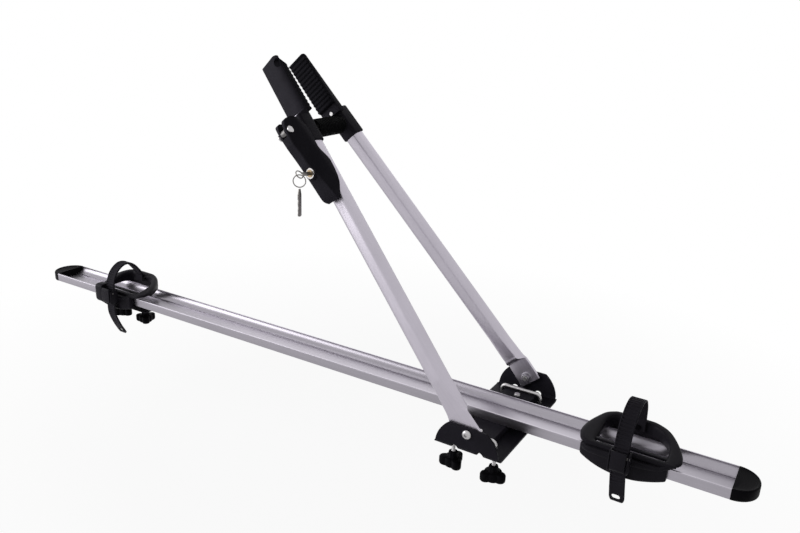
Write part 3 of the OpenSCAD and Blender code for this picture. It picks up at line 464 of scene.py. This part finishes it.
arm_finish = drawn("arm_anodised_aluminium", "#B7B2BC", 0.38, (0, np.radians(49), 0), 3.0)
t = np.concatenate([[-11, -10.6, -9.8, -6, 0, 10, 20], np.linspace(23, 56, 56), np.linspace(58, 90, 12),
                    [300, 527]])
wide = np.interp(t, [-11, -10.6, -9.8, 26, 48, 70, 84], [18.4, 18.8, 18.9, 18, 15.5, 13.2, 12.5])
corner = np.interp(t, [20, 40, 84], [1, 4, 7])
thick = np.interp(t, [24, 36, 48, 66, 84], [4.6, 9.5, 18.5, 22, 25])
rows = rounded(np.stack([-wide, 0 * t], 1), np.stack([wide, thick], 1), np.repeat(corner[:, None], 4, 1))
across = rows[..., 0]
start = 27 + 11 * (1 - (across / wide[:, None]) ** 2)
rise = np.clip((t[:, None] - start) / 6, 0, 1)
local = 4.6 + 14.4 * rise ** 2 * (3 - 2 * rise) + 6 * np.clip((t[:, None] - 40) / 44, 0, 1)
inner = rows[..., 1] * np.where(t[:, None] < 84, local / thick[:, None], 1)
slim = np.interp(t, [20, 34, 84], [18, 12.8, 12.5])[:, None] / wide[:, None]
across = across * (1 + (slim - 1) * rows[..., 1] / thick[:, None] * np.clip((local - 4.6) / 10, 0, 1))
outer = np.where(t < 84, -108 - 0.5 * np.clip((t - 48) / 36, 0, 1),
                 -arm_base + t * np.tan(splay) - tube_half / np.cos(splay))
tilt = splay * np.clip((t - 30) / 54, 0, 1)
near_arm = leaning(across, outer[:, None] + inner * np.cos(tilt)[:, None],
                   t[:, None] - inner * np.sin(tilt)[:, None])
piece("near_arm_tube", [skin(near_arm)], arm_finish, "frame", ["near_arm"], crease=32)
far = piece("far_arm_tube", [skin(near_arm * (1, -1, 1))], arm_finish, None, ["far_arm", "far_foot"],
            crease=32)
leaning(0, 105.7, 10) / 1000
leaning(0, 105.7, 60) / 1000
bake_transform(far)

# Jaws: glass filled plastic mouldings pushed over the arm ends, the near one with a round bar front.
# Ribbed rubber pads are screwed to their inner faces and grip the bike's down tube.
jaw_finish = moulded("charcoal_nylon", "#36343B", 0.45, 0.8, 0.15, gloss=0.02)
jaw_half, collar_half = 18.5, 14
t = np.concatenate([[480, 480.8, 482], np.linspace(484, 526, 4), np.linspace(527, 534, 6),
                    np.linspace(545, 612, 4), np.linspace(616, 630, 6), [630.6, 631]])
end = np.interp(t, [480, 480.8, 482, 630, 630.6, 631], [1.4, 0.4, 0, 0, 0.3, 0.9])
reach = (collar_half - end)[:, None].repeat(2, 1)
tube = rounded(-reach, reach, np.repeat(4.5 - end[:, None], 4, 1), 9)
front = np.interp(t, [534, 631], [-3, -1.4]) + end
grip = rounded(np.stack([end - jaw_half, front], 1), np.stack([jaw_half - end, 3.4 + 0 * t], 1),
               np.tile([2.2, 0.3, 0.3, 0.5], (len(t), 1)), 9)
turn = np.radians(np.linspace(0, 90, 9))
grip[:, 9:18] = np.stack([5 + (jaw_half - 5 - end[:, None]) * np.sin(turn),
                          3.1 - (3.1 - front[:, None]) * np.cos(turn)], 2)
rows = tube + (grip - tube) * np.clip((t - 527) / 7, 0, 1)[:, None, None]
close = np.interp(t, [612, 631], [0, 1])[:, None]
slant = close * (0.84 * (rows[..., 1] + 1) - 2.5 * np.clip((rows[..., 0] + 2) / 14, 0, 1))
near_jaw = piece("near_jaw_shell", [skin(on_arm(rows[..., 0], rows[..., 1], t[:, None] - slant))], jaw_finish,
                 "frame", ["near_jaw"], crease=40)

s = np.array([519, 519.4, 520.2, 531, 580, 623, 624.4, 625.8, 627, 628, 628.8, 629.4, 629.8, 630])
end = np.interp(s, [519, 519.4, 520.2, 628.8, 629.4, 630], [0.8, 0.3, 0, 0, 0.2, 0.5])
rear = np.interp(s, [519, 531, 630], [43.4, 42.6, 32.8]) - end
nose = 6.5 - np.sqrt(6.5 ** 2 - np.clip(s - 623.6, 0, 6.45) ** 2)
far_face = 31
rows = rounded(np.stack([end - jaw_half, far_face + 0 * s], 1), np.stack([jaw_half - end - nose, rear], 1),
               np.tile([0.5, 0.5, 0.8, 0.8], (len(s), 1)))
wedge = skin(leaning(rows[..., 0], rows[..., 1], s[:, None]))
t = np.array([480, 480.8, 482, 500, 528.5, 530.2, 531])
edge = np.array([1.4, 0.4, 0, 0, 0, 0.5, 1.6])
reach = (collar_half - edge)[:, None].repeat(2, 1)
rows = rounded(-reach, reach, np.full((len(t), 4), 4.5))
collar = on_arm(rows[..., 0], rows[..., 1], t[:, None]) * (1, -1, 1)
piece("far_jaw_shell", [wedge, skin(collar)], jaw_finish, "far_side", ["far_jaw"], crease=40)

f = np.linspace(0, 1, 281)
ends = np.minimum(1, np.minimum(f, 1 - f) * 70)
for name, body, count in (("near_pad", "frame", 13), ("far_pad", "far_side", 14)):
    near = name == "near_pad"
    rib = 0.5 + 0.5 * np.tanh(3.2 * np.sin(2 * np.pi * count * f - np.pi / 2))
    proud = 0.4 + ((13.4 - 2.8 * f if near else 3.6) + 1.2 * rib) * ends
    half = 17 + 0 * f if near else 18 - 6.5 + np.sqrt(6.5 ** 2 - np.clip(96 * f - 90, 0, 6.45) ** 2)
    rows = rounded(np.stack([0 * f - (17 if near else 18), 0 * f], 1), np.stack([half, proud], 1),
                   np.tile([0.1, 0.1, 1, 1], (281, 1)) * ends[:, None].clip(0.2), 4)
    if near:
        slant = np.clip(f - 0.9, 0, 1)[:, None] * 10 * 0.84 * (rows[..., 1] - 11)
        grid = on_arm(rows[..., 0], 3.5 + rows[..., 1], 532 + 86.4 * f[:, None] - slant)
    else:
        grid = leaning(rows[..., 0], far_face - rows[..., 1], 533.6 + 96 * f[:, None])
    piece(f"{name}_ribs", [skin(grid)], rubber_finish, body, [name], crease=46)
dress(["near_pad_screws", "far_pad_screws"], zinc_finish, 0.4)

# Clamp rod and spring: a zinc plated rod through both collars, drawn in a plain darker steel, and a black
# coated compression spring.
# The spring pushes the far arm off as the lever lets go and its curls open with the arm; here it is one fixed
# coil.
# A plain steel darker than the zinc finish, for the clamp rod and the strap pins.
steel_finish = plated("darker_steel", "#6B6969", 0.36, 2.5)
dress(["rod_nut", "cam_pin"], zinc_finish, 0.4)
dress(["clamp_rod"], steel_finish, 0.4)
spring_finish = painted("black_coated_wire", "#0A0A0C", 0.36)
turns, rod_s = 19, 503
wind = np.linspace(0, turns, turns * 26 + 1)
around = np.radians(90 + 360 * wind)[:, None]
wire = np.radians(np.arange(0, 360, 36))
radius = 13.55 + 1.2 * np.cos(wire)
coil = leaning(radius * np.cos(around), (-34.1 + 68.2 * wind / turns)[:, None] + 1.2 * np.sin(wire),
               rod_s + radius * np.sin(around))
spring = piece("clamp_spring_coil", [skin(coil)], spring_finish, None, ["clamp_spring"],
               crease=60)
leaning(0, -34, 503) / 1000
leaning(0, 34, 503) / 1000
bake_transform(spring)


# Cam lever: a moulded channel over the near arm, solid around the steel pin where its cam bears.
# A lock barrel sits in its back; key, ring and spare key hang from it.
def carve(made, cutters, crease=38):
    """Takes closed skins, in millimetres, out of a finished piece and keeps the result as its mesh."""
    for v, faces in cutters:
        mesh = bpy.data.meshes.new("cutter")
        mesh.from_pydata((v / 1000).tolist(), [], faces)
        tool = bpy.data.objects.new("cutter", mesh)
        scene.collection.objects.link(tool)
        hole = made.modifiers.new("hole", "BOOLEAN")
        hole.object, hole.operation, hole.solver = tool, "DIFFERENCE", "EXACT"
        bpy.context.view_layer.update()
        shaped = bpy.data.meshes.new_from_object(made.evaluated_get(bpy.context.evaluated_depsgraph_get()))
        made.modifiers.remove(hole)
        bpy.data.objects.remove(tool)
        shaped.shade_smooth()
        shaped.set_sharp_from_angle(angle=np.radians(crease))
        made.data = shaped


ring = np.radians(np.arange(0, 360, 12))
way, side = np.array([-4.2, 16.0])[:, None], 5.6 * np.cos(ring)
recess = on_arm(14.5 + 0.75 * way + 0.66 * side, 0.75 * side - 0.66 * way, 619.5 + 7.4 * np.sin(ring))
carve(near_jaw, [skin(recess)], 40)
pin_y, pin_t = -46.626, 500.878
turn = np.radians(np.arange(0, 101, 5))
cam = 32.226 - 7.64 * turn
cam_y = pin_y + cam * np.cos(turn) + 7.64 * np.sin(turn)
cam_t = pin_t + cam * np.sin(turn) - 7.64 * np.cos(turn)
t = np.concatenate([[384.6, 385, 385.8, 387, 388.6, 390.4], np.linspace(392, 477.6, 44), [478.4],
                    np.linspace(480, 512, 17), [514, 516, 517.6, 518.8, 519.8, 520.4, 520.8]])
back_t, back_y = np.array([
    (384.6, -20.4), (385, -22.6), (385.8, -24.8), (388, -27.6), (391, -29.5), (408.7, -33.9), (426, -38.3),
    (444, -43.8), (461.5, -47.1), (479, -51.6), (501.6, -52.7), (512, -51.6), (516.8, -50), (519.4, -47.4),
    (520.8, -43.2)]).T
back = np.interp(t, back_t, back_y)
back[2:-2] = np.convolve(back, np.ones(5) / 5, "valid")
face = np.interp(t, np.concatenate([[384.6, 386.4, 391.5, 400, 415, 428, 441.5, 447, 453, 459, 466], cam_t]),
                 np.concatenate([[-19.4, -17.5, -15, -11.2, -5.8, -4, -3.4, -4.8, -8, -11.6, -14.4], cam_y]))
deep = np.interp(t, [386, 388, 394, 406, 418, 430, 446, 462, 477.6],
                 [-14, -19.5, -23.5, -27, -30, -33, -38, -42, -44])
deep = np.where((t > 386) & (t < 478), np.minimum(np.maximum(deep, back + 4), face), face)


def flank(y, wall):
    """Half width of the lever at depth y: a plane that opens out towards the arm and up the lever, drawn in
    by a wall and held to 17.5 outside."""
    return np.minimum(17.5, -9.64 + 0.354 * y + 0.0746 * t) - 1.064 * wall


knee = np.clip((17.5 + 9.64 - 0.0746 * t) / 0.354, back + 0.1, face - 0.1)
tip = 4.2 * np.clip((446 - t) / 50, 0, 1)
outside = ((flank(face, 0), face), (flank(knee, 0), knee),
           (np.minimum(flank(back, 0) + tip, flank(knee, 0.4)), back))
mouth = np.minimum(13.2, flank(face, 1.5))
hollow = ((mouth, face), (mouth, np.maximum(deep, np.minimum(face, deep + 22))),
          (np.minimum(flank(deep, 3), 13.2), deep))
corners = [(-n, y) for n, y in outside] + [(n, y) for n, y in outside[::-1]]
corners += [(n, y) for n, y in hollow] + [(-n, y) for n, y in hollow[::-1]]
corners = np.stack([np.stack(c, 1) for c in corners], 1)
rows = fillet(corners, np.array([0.7, 5, 2.4, 2.4, 5, 0.7, 0.3, 0.3, 1, 1, 0.3, 0.3]), 6)
low = t[:, None] - 2.4 * np.clip(rows[..., 0] / 8, 0, 1) * np.clip((393 - t[:, None]) / 8, 0, 1)
lever_shell = on_arm(rows[..., 0], rows[..., 1], low)
lever = piece("cam_lever_shell", [skin(lever_shell)], jaw_finish, "lever", ["lever"],
              crease=42)
lock_t, bow_y = 432, -63
slot_y = np.array([-62.0, 20.0])
block = np.array([(-4.9, pin_t - 7.4), (4.9, pin_t - 7.4), (4.9, pin_t + 40), (-4.9, pin_t + 40)])
slot_cut = on_arm(block[None, :, 0], slot_y[:, None], block[None, :, 1])
ring = np.radians(np.arange(0, 360, 15))
head, head_back = (on_arm(np.array(reach)[:, None], pin_y + 5.9 * np.cos(ring), pin_t + 5.9 * np.sin(ring))
                   for reach in ((9.5, 40), (-40, -9.5)))
barrel = on_arm(8.1 * np.cos(ring), np.array([-80.0, -18.0])[:, None], lock_t + 8.1 * np.sin(ring))
carve(lever, [skin(slot_cut), skin(head), skin(head_back), skin(barrel)], 42)
boss_y, boss_r = np.array([
    (-39.4, 9), (-39.6, 9.4), (-39, 10.2), (-37.6, 10.4), (-24, 10.4), (-22, 10.4), (-22, 8.2),
    (-39.4, 8.2)]).T
boss = on_arm(boss_r[:, None] * np.cos(ring), boss_y[:, None], lock_t + boss_r[:, None] * np.sin(ring))
piece("lock_boss", [skin(boss, loop=True)], jaw_finish, "lever", [], crease=40)
lock_finish = plated("chromed_zamak", "#908D8C", 0.24, 3.0)
plug_finish = plated("brass_plug", "#86765F", 0.34, 2.0)
key_finish = plated("nickel_plated_brass", "#7C7977", 0.3, 2.0)
dress(["lock_barrel"], lock_finish, 0.6)
dress(["lock_plug"], plug_finish, 0.4)
dress(["key_ring"], key_finish)
f = np.sin(np.radians(np.linspace(-90, 90, 31)))
bow = 6.8
y = np.concatenate([bow_y + bow * f[:26], np.linspace(-57, -41.2, 12)])
high = np.maximum(np.sqrt(np.clip(bow ** 2 - (y - bow_y) ** 2, 0.04, None)), np.where(y > -60, 3, 0))
rows = rounded(np.stack([0 * y - 0.7, -high], 1), np.stack([0 * y + 0.7, high], 1),
               np.tile(np.minimum(0.3, 0.8 * high)[:, None], 4), 4)
key = piece("key_in_lock", [skin(on_arm(rows[..., 0], y[:, None], lock_t + rows[..., 1]))], key_finish,
            "lock", ["key"])
eye = on_arm(np.array([-9.0, 9.0])[:, None], bow_y + 5.5 * np.cos(ring), lock_t + 5.5 * np.sin(ring))
carve(key, [skin(eye)])
spare_x, spare_y, spare_z, bow = -286.2, -121.6, 338, 6.2
z = np.concatenate([spare_z - bow * f[::-1][5:], np.linspace(331, 299.4, 60), [298.9, 298.5]])[::-1]
half = np.maximum(np.sqrt(np.clip(bow ** 2 - (z - spare_z) ** 2, 0.04, None)), np.where(z < 333, 3.4, 0))
point = np.clip(300 - z, 0, 2)
teeth = np.where((z > 303) & (z < 323), 0.7 * np.abs(((z - 303) / 5) % 2 - 1), 0) + point
rows = rounded(np.stack([0 * z - 1.1, teeth - half], 1), np.stack([0 * z + 1.1, half - point], 1),
               np.tile(np.minimum(0.4, 0.8 * half)[:, None], 4), 4)
height = np.broadcast_to(z[:, None], rows.shape[:2])
blade = np.stack([spare_x + rows[..., 0], spare_y + rows[..., 1], height], 2)
spare = piece("spare_key_blade", [skin(blade)], key_finish, "spare", ["spare_key"])
eye = np.stack(np.broadcast_arrays(np.array([-296.0, -276.0])[:, None], spare_y + 2.6 * np.cos(ring),
                                   341.2 + 2.2 * np.sin(ring)), 2)
carve(spare, [skin(eye)])

# Wheel holders: moulded cradles that straddle the rail, each with an open ring, higher on the far side.
# Skirts hang over both rail walls, the near one bulging out, and lips below keep the holder on the rail.
holder_finish = moulded("holder_polyamide", "#27252B", 0.4, 0.9, 0.14, gloss=0.05)


def curve(points, steps):
    """Smooth curve through points: each span is the cubic whose end slopes are half the distance between
    the neighbours on both sides."""
    p = np.asarray(points, float)
    p = np.concatenate([p[:1], p, p[-1:]])
    a, b, c, d = (p[n:len(p) - 3 + n, None] for n in range(4))
    f = np.arange(steps)[None, :, None] / steps
    spans = 2 * b + (c - a) * f + (2 * a - 5 * b + 4 * c - d) * f ** 2 + (3 * b - a - 3 * c + d) * f ** 3
    return np.concatenate([0.5 * spans.reshape(-1, 2), p[-1:]])


def bulged(low, high, power, steps=36):
    """Rows of superellipses from corner low to corner high: the signed power of cosine and sine, smaller
    powers giving squarer sections."""
    angle = np.radians(np.linspace(0, 360, steps, endpoint=False))
    way = np.stack([np.sign(f) * np.abs(f) ** power for f in (np.cos(angle), np.sin(angle))], 1)
    low, high = np.asarray(low, float)[:, None], np.asarray(high, float)[:, None]
    return (low + high) / 2 + (high - low) / 2 * way


plan_out = np.array([
    (-46, -40), (-55, -38), (-62, -33), (-67.5, -25), (-70, -13), (-67, 4), (-60, 19.6), (-52, 33.5),
    (-42, 40.8), (-31, 44), (9, 44), (23, 42.2), (39, 34.5), (50, 23), (60.4, 6.8), (67.4, -8), (70, -20),
    (69.4, -27), (65, -33), (54, -38.5)])
plan_in = np.array([
    (-38, -32), (-42.6, -31.6), (-44, -30), (-44, -24), (-44, -10), (-44, 6), (-43.4, 18), (-39, 28),
    (-33.6, 32.2), (-27, 33), (12, 33), (20, 32), (30, 26.5), (39.5, 16.5), (46.6, 4), (49.6, -11), (50, -20),
    (50, -28), (48.6, -31.5), (44, -32)])
trimmed = np.array([14, 14, 14, 14, 12.6, 4.2] + [0] * 14)[:, None] * (1, 0)


def hoop(outside, rise):
    """Ring of the holder: a superellipse section between the window's edge and the outside edge, both
    smooth curves round the plan, under a top that rises to the far side; the near right end is lifted off
    the rail."""
    far, near = (curve(np.concatenate([p[-1:], p, p[:2]]), 4)[4:-5] for p in (outside, plan_in))
    spread, lift = bulged([(0, 0)], [(1, 1)], 0.55, 32)[0].T
    plan = near[:, None] + (far - near)[:, None] * spread[None, :, None]
    top = 36.1 + (plan[..., 1] + 44) / 88 * rise
    low = 29.1 + 4.5 * np.clip((plan[..., 0] - 50) / 8, 0, 1) * np.clip((-8 - plan[..., 1]) / 8, 0, 1)
    return np.concatenate([plan, (low + (top - low) * lift)[..., None]], 2)


def skirt(left, right):
    """Near skirt from end to end: its face bulges out by the cube of the distance from the middle, steps
    back towards the right and its foot rises by the square."""
    x = np.concatenate([left + 3 * (1 - np.cos(np.radians(np.linspace(0, 90, 7)))),
                        np.linspace(left + 6, right - 3, 19), [right - 1.4, right - 0.4, right]])
    end = np.interp(x, [left, left + 0.4, left + 1.5, left + 3, right - 1.4, right - 0.4, right],
                    [2.6, 1.4, 0.5, 0, 0, 0.4, 1.2])
    face = -46.8 + 8 * np.abs(x / 61) ** 3 + 2.4 * np.clip((x - 14) / 22, 0, 1) + end
    rows = bulged(np.stack([face, 1.4 + 12 * (x / 60) ** 2 + end], 1),
                  np.stack([np.full_like(x, -32.5) - 0.2 * end, 31 - end], 1), 0.36)
    return carried(x, rows)


def shoulder(left, right):
    """Round rim along the skirt's upper edge: a superellipse carried along a bowed line, which rises at its
    right end to meet the ring."""
    line = curve([(left + 1, -37), (left + 6, -41.5), (left + 16, -45.2), (-24, -47.2), (0, -47.6),
                  (0.5 * right, -46.6), (0.8 * right, -43.4), (1.02 * right, -38.4),
                  (1.17 * right, -31.5)], 5)
    step = np.gradient(line, axis=0)
    inward = np.stack([-step[:, 1], step[:, 0]], 1) / np.linalg.norm(step, axis=1)[:, None]
    deep, tall = bulged([(0, 0)], [(9, 1)], 0.62, 28)[0].T
    share = line[:, 0] / right
    low = np.interp(share, [-0.3, 0.2, 0.8, 1.15], [22.5, 23, 25.5, 31.5])
    high = np.interp(share, [0.8, 1.15], [31.8, 38])
    plan = line[:, None] + inward[:, None] * deep[None, :, None]
    return np.concatenate([plan, (low[:, None] + (high - low)[:, None] * tall)[..., None]], 2)


x = np.concatenate([[-45, -44.6, -43.6], np.linspace(-42, 26, 9), [27.6, 28.6, 29]])
end = np.interp(np.abs(x + 8), [34, 35.6, 36.6, 37], [0, 0.5, 1.4, 2.6])
rows = bulged(np.stack([0 * x + 32.5, 8 + end], 1), np.stack([44 - end, 0 * x + 36], 1), 0.5)
far_skirt = carried(x, rows)
strip = carried([-45.0, 51.0], bulged([(-27, 34.6)] * 2, [(-21, 38.4)] * 2, 0.5))
lips = [carried([-45.0, 45.0], bulged([(y - 3.2, 8.7)] * 2, [(y + 3.2, 12.8)] * 2, 0.35)) for y in (-33, 33)]
for end_name, x, outside, rise, left, right in (
        ("rear", 201.0, plan_out, 15.5, -63, 55.5), ("front", -821.0, plan_out + trimmed, 17.5, -47, 43)):
    skins = [skin(hoop(outside, rise) + (x, 0, 0), loop=True)]
    walls = (skirt(left, right), shoulder(left, right), far_skirt, strip, *lips)
    skins += [skin(wall + (x, 0, 0)) for wall in walls]
    piece(f"{end_name}_holder_moulding", skins, holder_finish, f"{end_name}_cradle", [f"{end_name}_holder"],
          crease=46)

# Straps: ladder bands of soft plastic, riveted to the far wall, looped over the wheel, through the buckle.
# Cross ribs catch the latch; the loose tail below the buckle ends in an eyelet for the thumb.
strap_finish = moulded("strap_elastomer", "#302E34", 0.5, 0.9, 0.1, gloss=0.02)
strap_x = {"rear": 198.0, "front": -818.0}
rear_loop = [(-52.2, 19.7), (-52.2, 36.7), (-50.5, 52.7), (-45, 68.7), (-35, 82.7), (-19, 93.7), (-1, 97),
             (16, 91.7), (27, 76.7), (30.8, 58.7), (31.2, 48.7), (31.2, 36.7)]
front_loop = [(-52.2, 19.7), (-52.2, 36.7), (-51.5, 50.7), (-48.5, 66.5), (-38.5, 81), (-23, 89.8),
              (-8, 88.4), (3, 80.6), (12, 70), (20.5, 61), (27, 54.7), (30.3, 50.7), (31.2, 46.7),
              (31.2, 36.7)]
for end_name, points, eye in (
        ("rear", [(-55, -29.3), (-54.6, -11.3), (-53.6, 6.7)] + rear_loop, (-55, -23.1)),
        ("front", [(-31, -54.5), (-43, -32.5), (-52.2, -9.3), (-54, 6.7)] + front_loop, (-35, -48))):
    x = strap_x[end_name]
    line = curve(points, 60)
    step = np.gradient(line, axis=0)
    step /= np.linalg.norm(step, axis=1)[:, None]
    along = np.concatenate([[0], np.cumsum(np.linalg.norm(np.diff(line, axis=0), axis=1))])
    gap = 0.5 - 0.5 * np.tanh(3 * np.sin(2 * np.pi * along / 5.2) + 0.6)
    deep = 1.6 - 1.0 * gap * np.clip((along - 24) / 6, 0, 1)
    narrow = 1 - 0.3 * (1 - np.sqrt(1 - np.clip(1 - along / 7, 0, 1) ** 2))
    half = np.stack([np.stack([0 * deep + a, deep if b is None else 0 * deep + b], 1) for a, b in (
        (-10.5, -0.9), (-9.9, -1.6), (9.9, -1.6), (10.5, -0.9), (10.5, 0.9), (9.9, 1.6), (8.7, 1.6),
        (8.3, None), (-8.3, None), (-8.7, 1.6), (-9.9, 1.6), (-10.5, 0.9))], 1)
    normal = np.stack([-step[:, 1], step[:, 0]], 1)
    aside = 3.6 * np.clip((8 - line[:, 1]) / 36, 0, 1) if end_name == "rear" else (
        -15 * np.clip((68 - line[:, 1]) / 20, 0, 1) * (line[:, 0] > 0))
    band = np.concatenate([x + aside[:, None, None] + half[..., :1] * narrow[:, None, None],
                           line[:, None] + half[..., 1:] * normal[:, None]], 2)
    strap = piece(f"{end_name}_strap_band", [skin(band)], strap_finish, f"{end_name}_cradle",
                  [f"{end_name}_strap"], crease=44)
    oval = rounded((-6, -3.6), (6, 3.6), (3.5, 3.5, 3.5, 3.5), 8)
    hole = np.stack(np.broadcast_arrays(x + aside[60] + oval[:, 0], [[eye[0] - 15], [eye[0] + 15]],
                                        eye[1] + oval[:, 1]), 2)
    carve(strap, [skin(hole)], 44)
dress(["rear_rivet", "front_rivet"], knob_finish, 0.2)
dress(["rear_pin", "front_pin"], steel_finish, 0.3)

# Ratchet buckles: a moulded housing with two cheeks on the holder's near wall and a sprung latch on a pin.
# Thumb pressure on the latch frees the strap; the front housing has a larger block beside it.
cheek = fillet([(-48.6, 16.7), (-64.6, 16.7), (-64.6, 41), (-59.5, 45.7), (-48.6, 45.7)], [1, 5, 6, 5, 1])
back_wall = fillet([(-47.2, 16.7), (-50, 16.7), (-50, 45.7), (-47.2, 45.7)], [0.6, 0.6, 0.6, 0.6])
latch_line = fillet([(-55, 37.7), (-56.2, 43.1), (-58.6, 45.3), (-62.1, 48.7), (-65.1, 49.2), (-66.2, 46.7),
                     (-66.2, 22.7), (-64.4, 19.7), (-61.6, 19.7), (-60.1, 33.7), (-56.6, 35.2)], 1.6)


def swept(outline, places):
    """Outline of the Y-Z plane carried along X: each place gives X and the share of its size round the mean
    of the outline's points."""
    x, share = np.array(places).T
    middle = outline.mean(0)
    return carried(x, middle + share[:, None, None] * (outline - middle))


def slab(outline, x0, x1):
    """Outline of the Y-Z plane from x0 to x1, its ends drawn in a little over the last 0.7 mm."""
    return swept(outline, [(x0, 0.97), (x0 + 0.25, 0.99), (x0 + 0.7, 1), (x1 - 0.7, 1), (x1 - 0.25, 0.99),
                           (x1, 0.97)])


block = fillet([(-47.4, 16.9), (-64.5, 16.9), (-64.5, 53.6), (-47.4, 53.6)], [1, 7, 7, 3])
for end_name, x in strap_x.items():
    housing = [slab(cheek, x - 13.5, x - 11.5), slab(cheek, x + 11.5, x + 13.5),
               slab(back_wall, x - 13.4, x + 13.4)]
    if end_name == "front":
        housing.append(swept(block, [(x + a, f) for a, f in (
            (-33, 0.74), (-32.6, 0.84), (-31.6, 0.92), (-29.8, 0.97), (-27, 1), (-14.5, 1), (-13.4, 0.98),
            (-13.2, 0.95))]))
    piece(f"{end_name}_buckle_housing", [skin(g) for g in housing], holder_finish, f"{end_name}_cradle",
          [f"{end_name}_buckle"], crease=40)
    piece(f"{end_name}_buckle_latch", [skin(slab(latch_line, x - 10.1, x + 10.1))], holder_finish,
          f"{end_name}_catch", [f"{end_name}_latch"], crease=40)

bpy.context.view_layer.update()
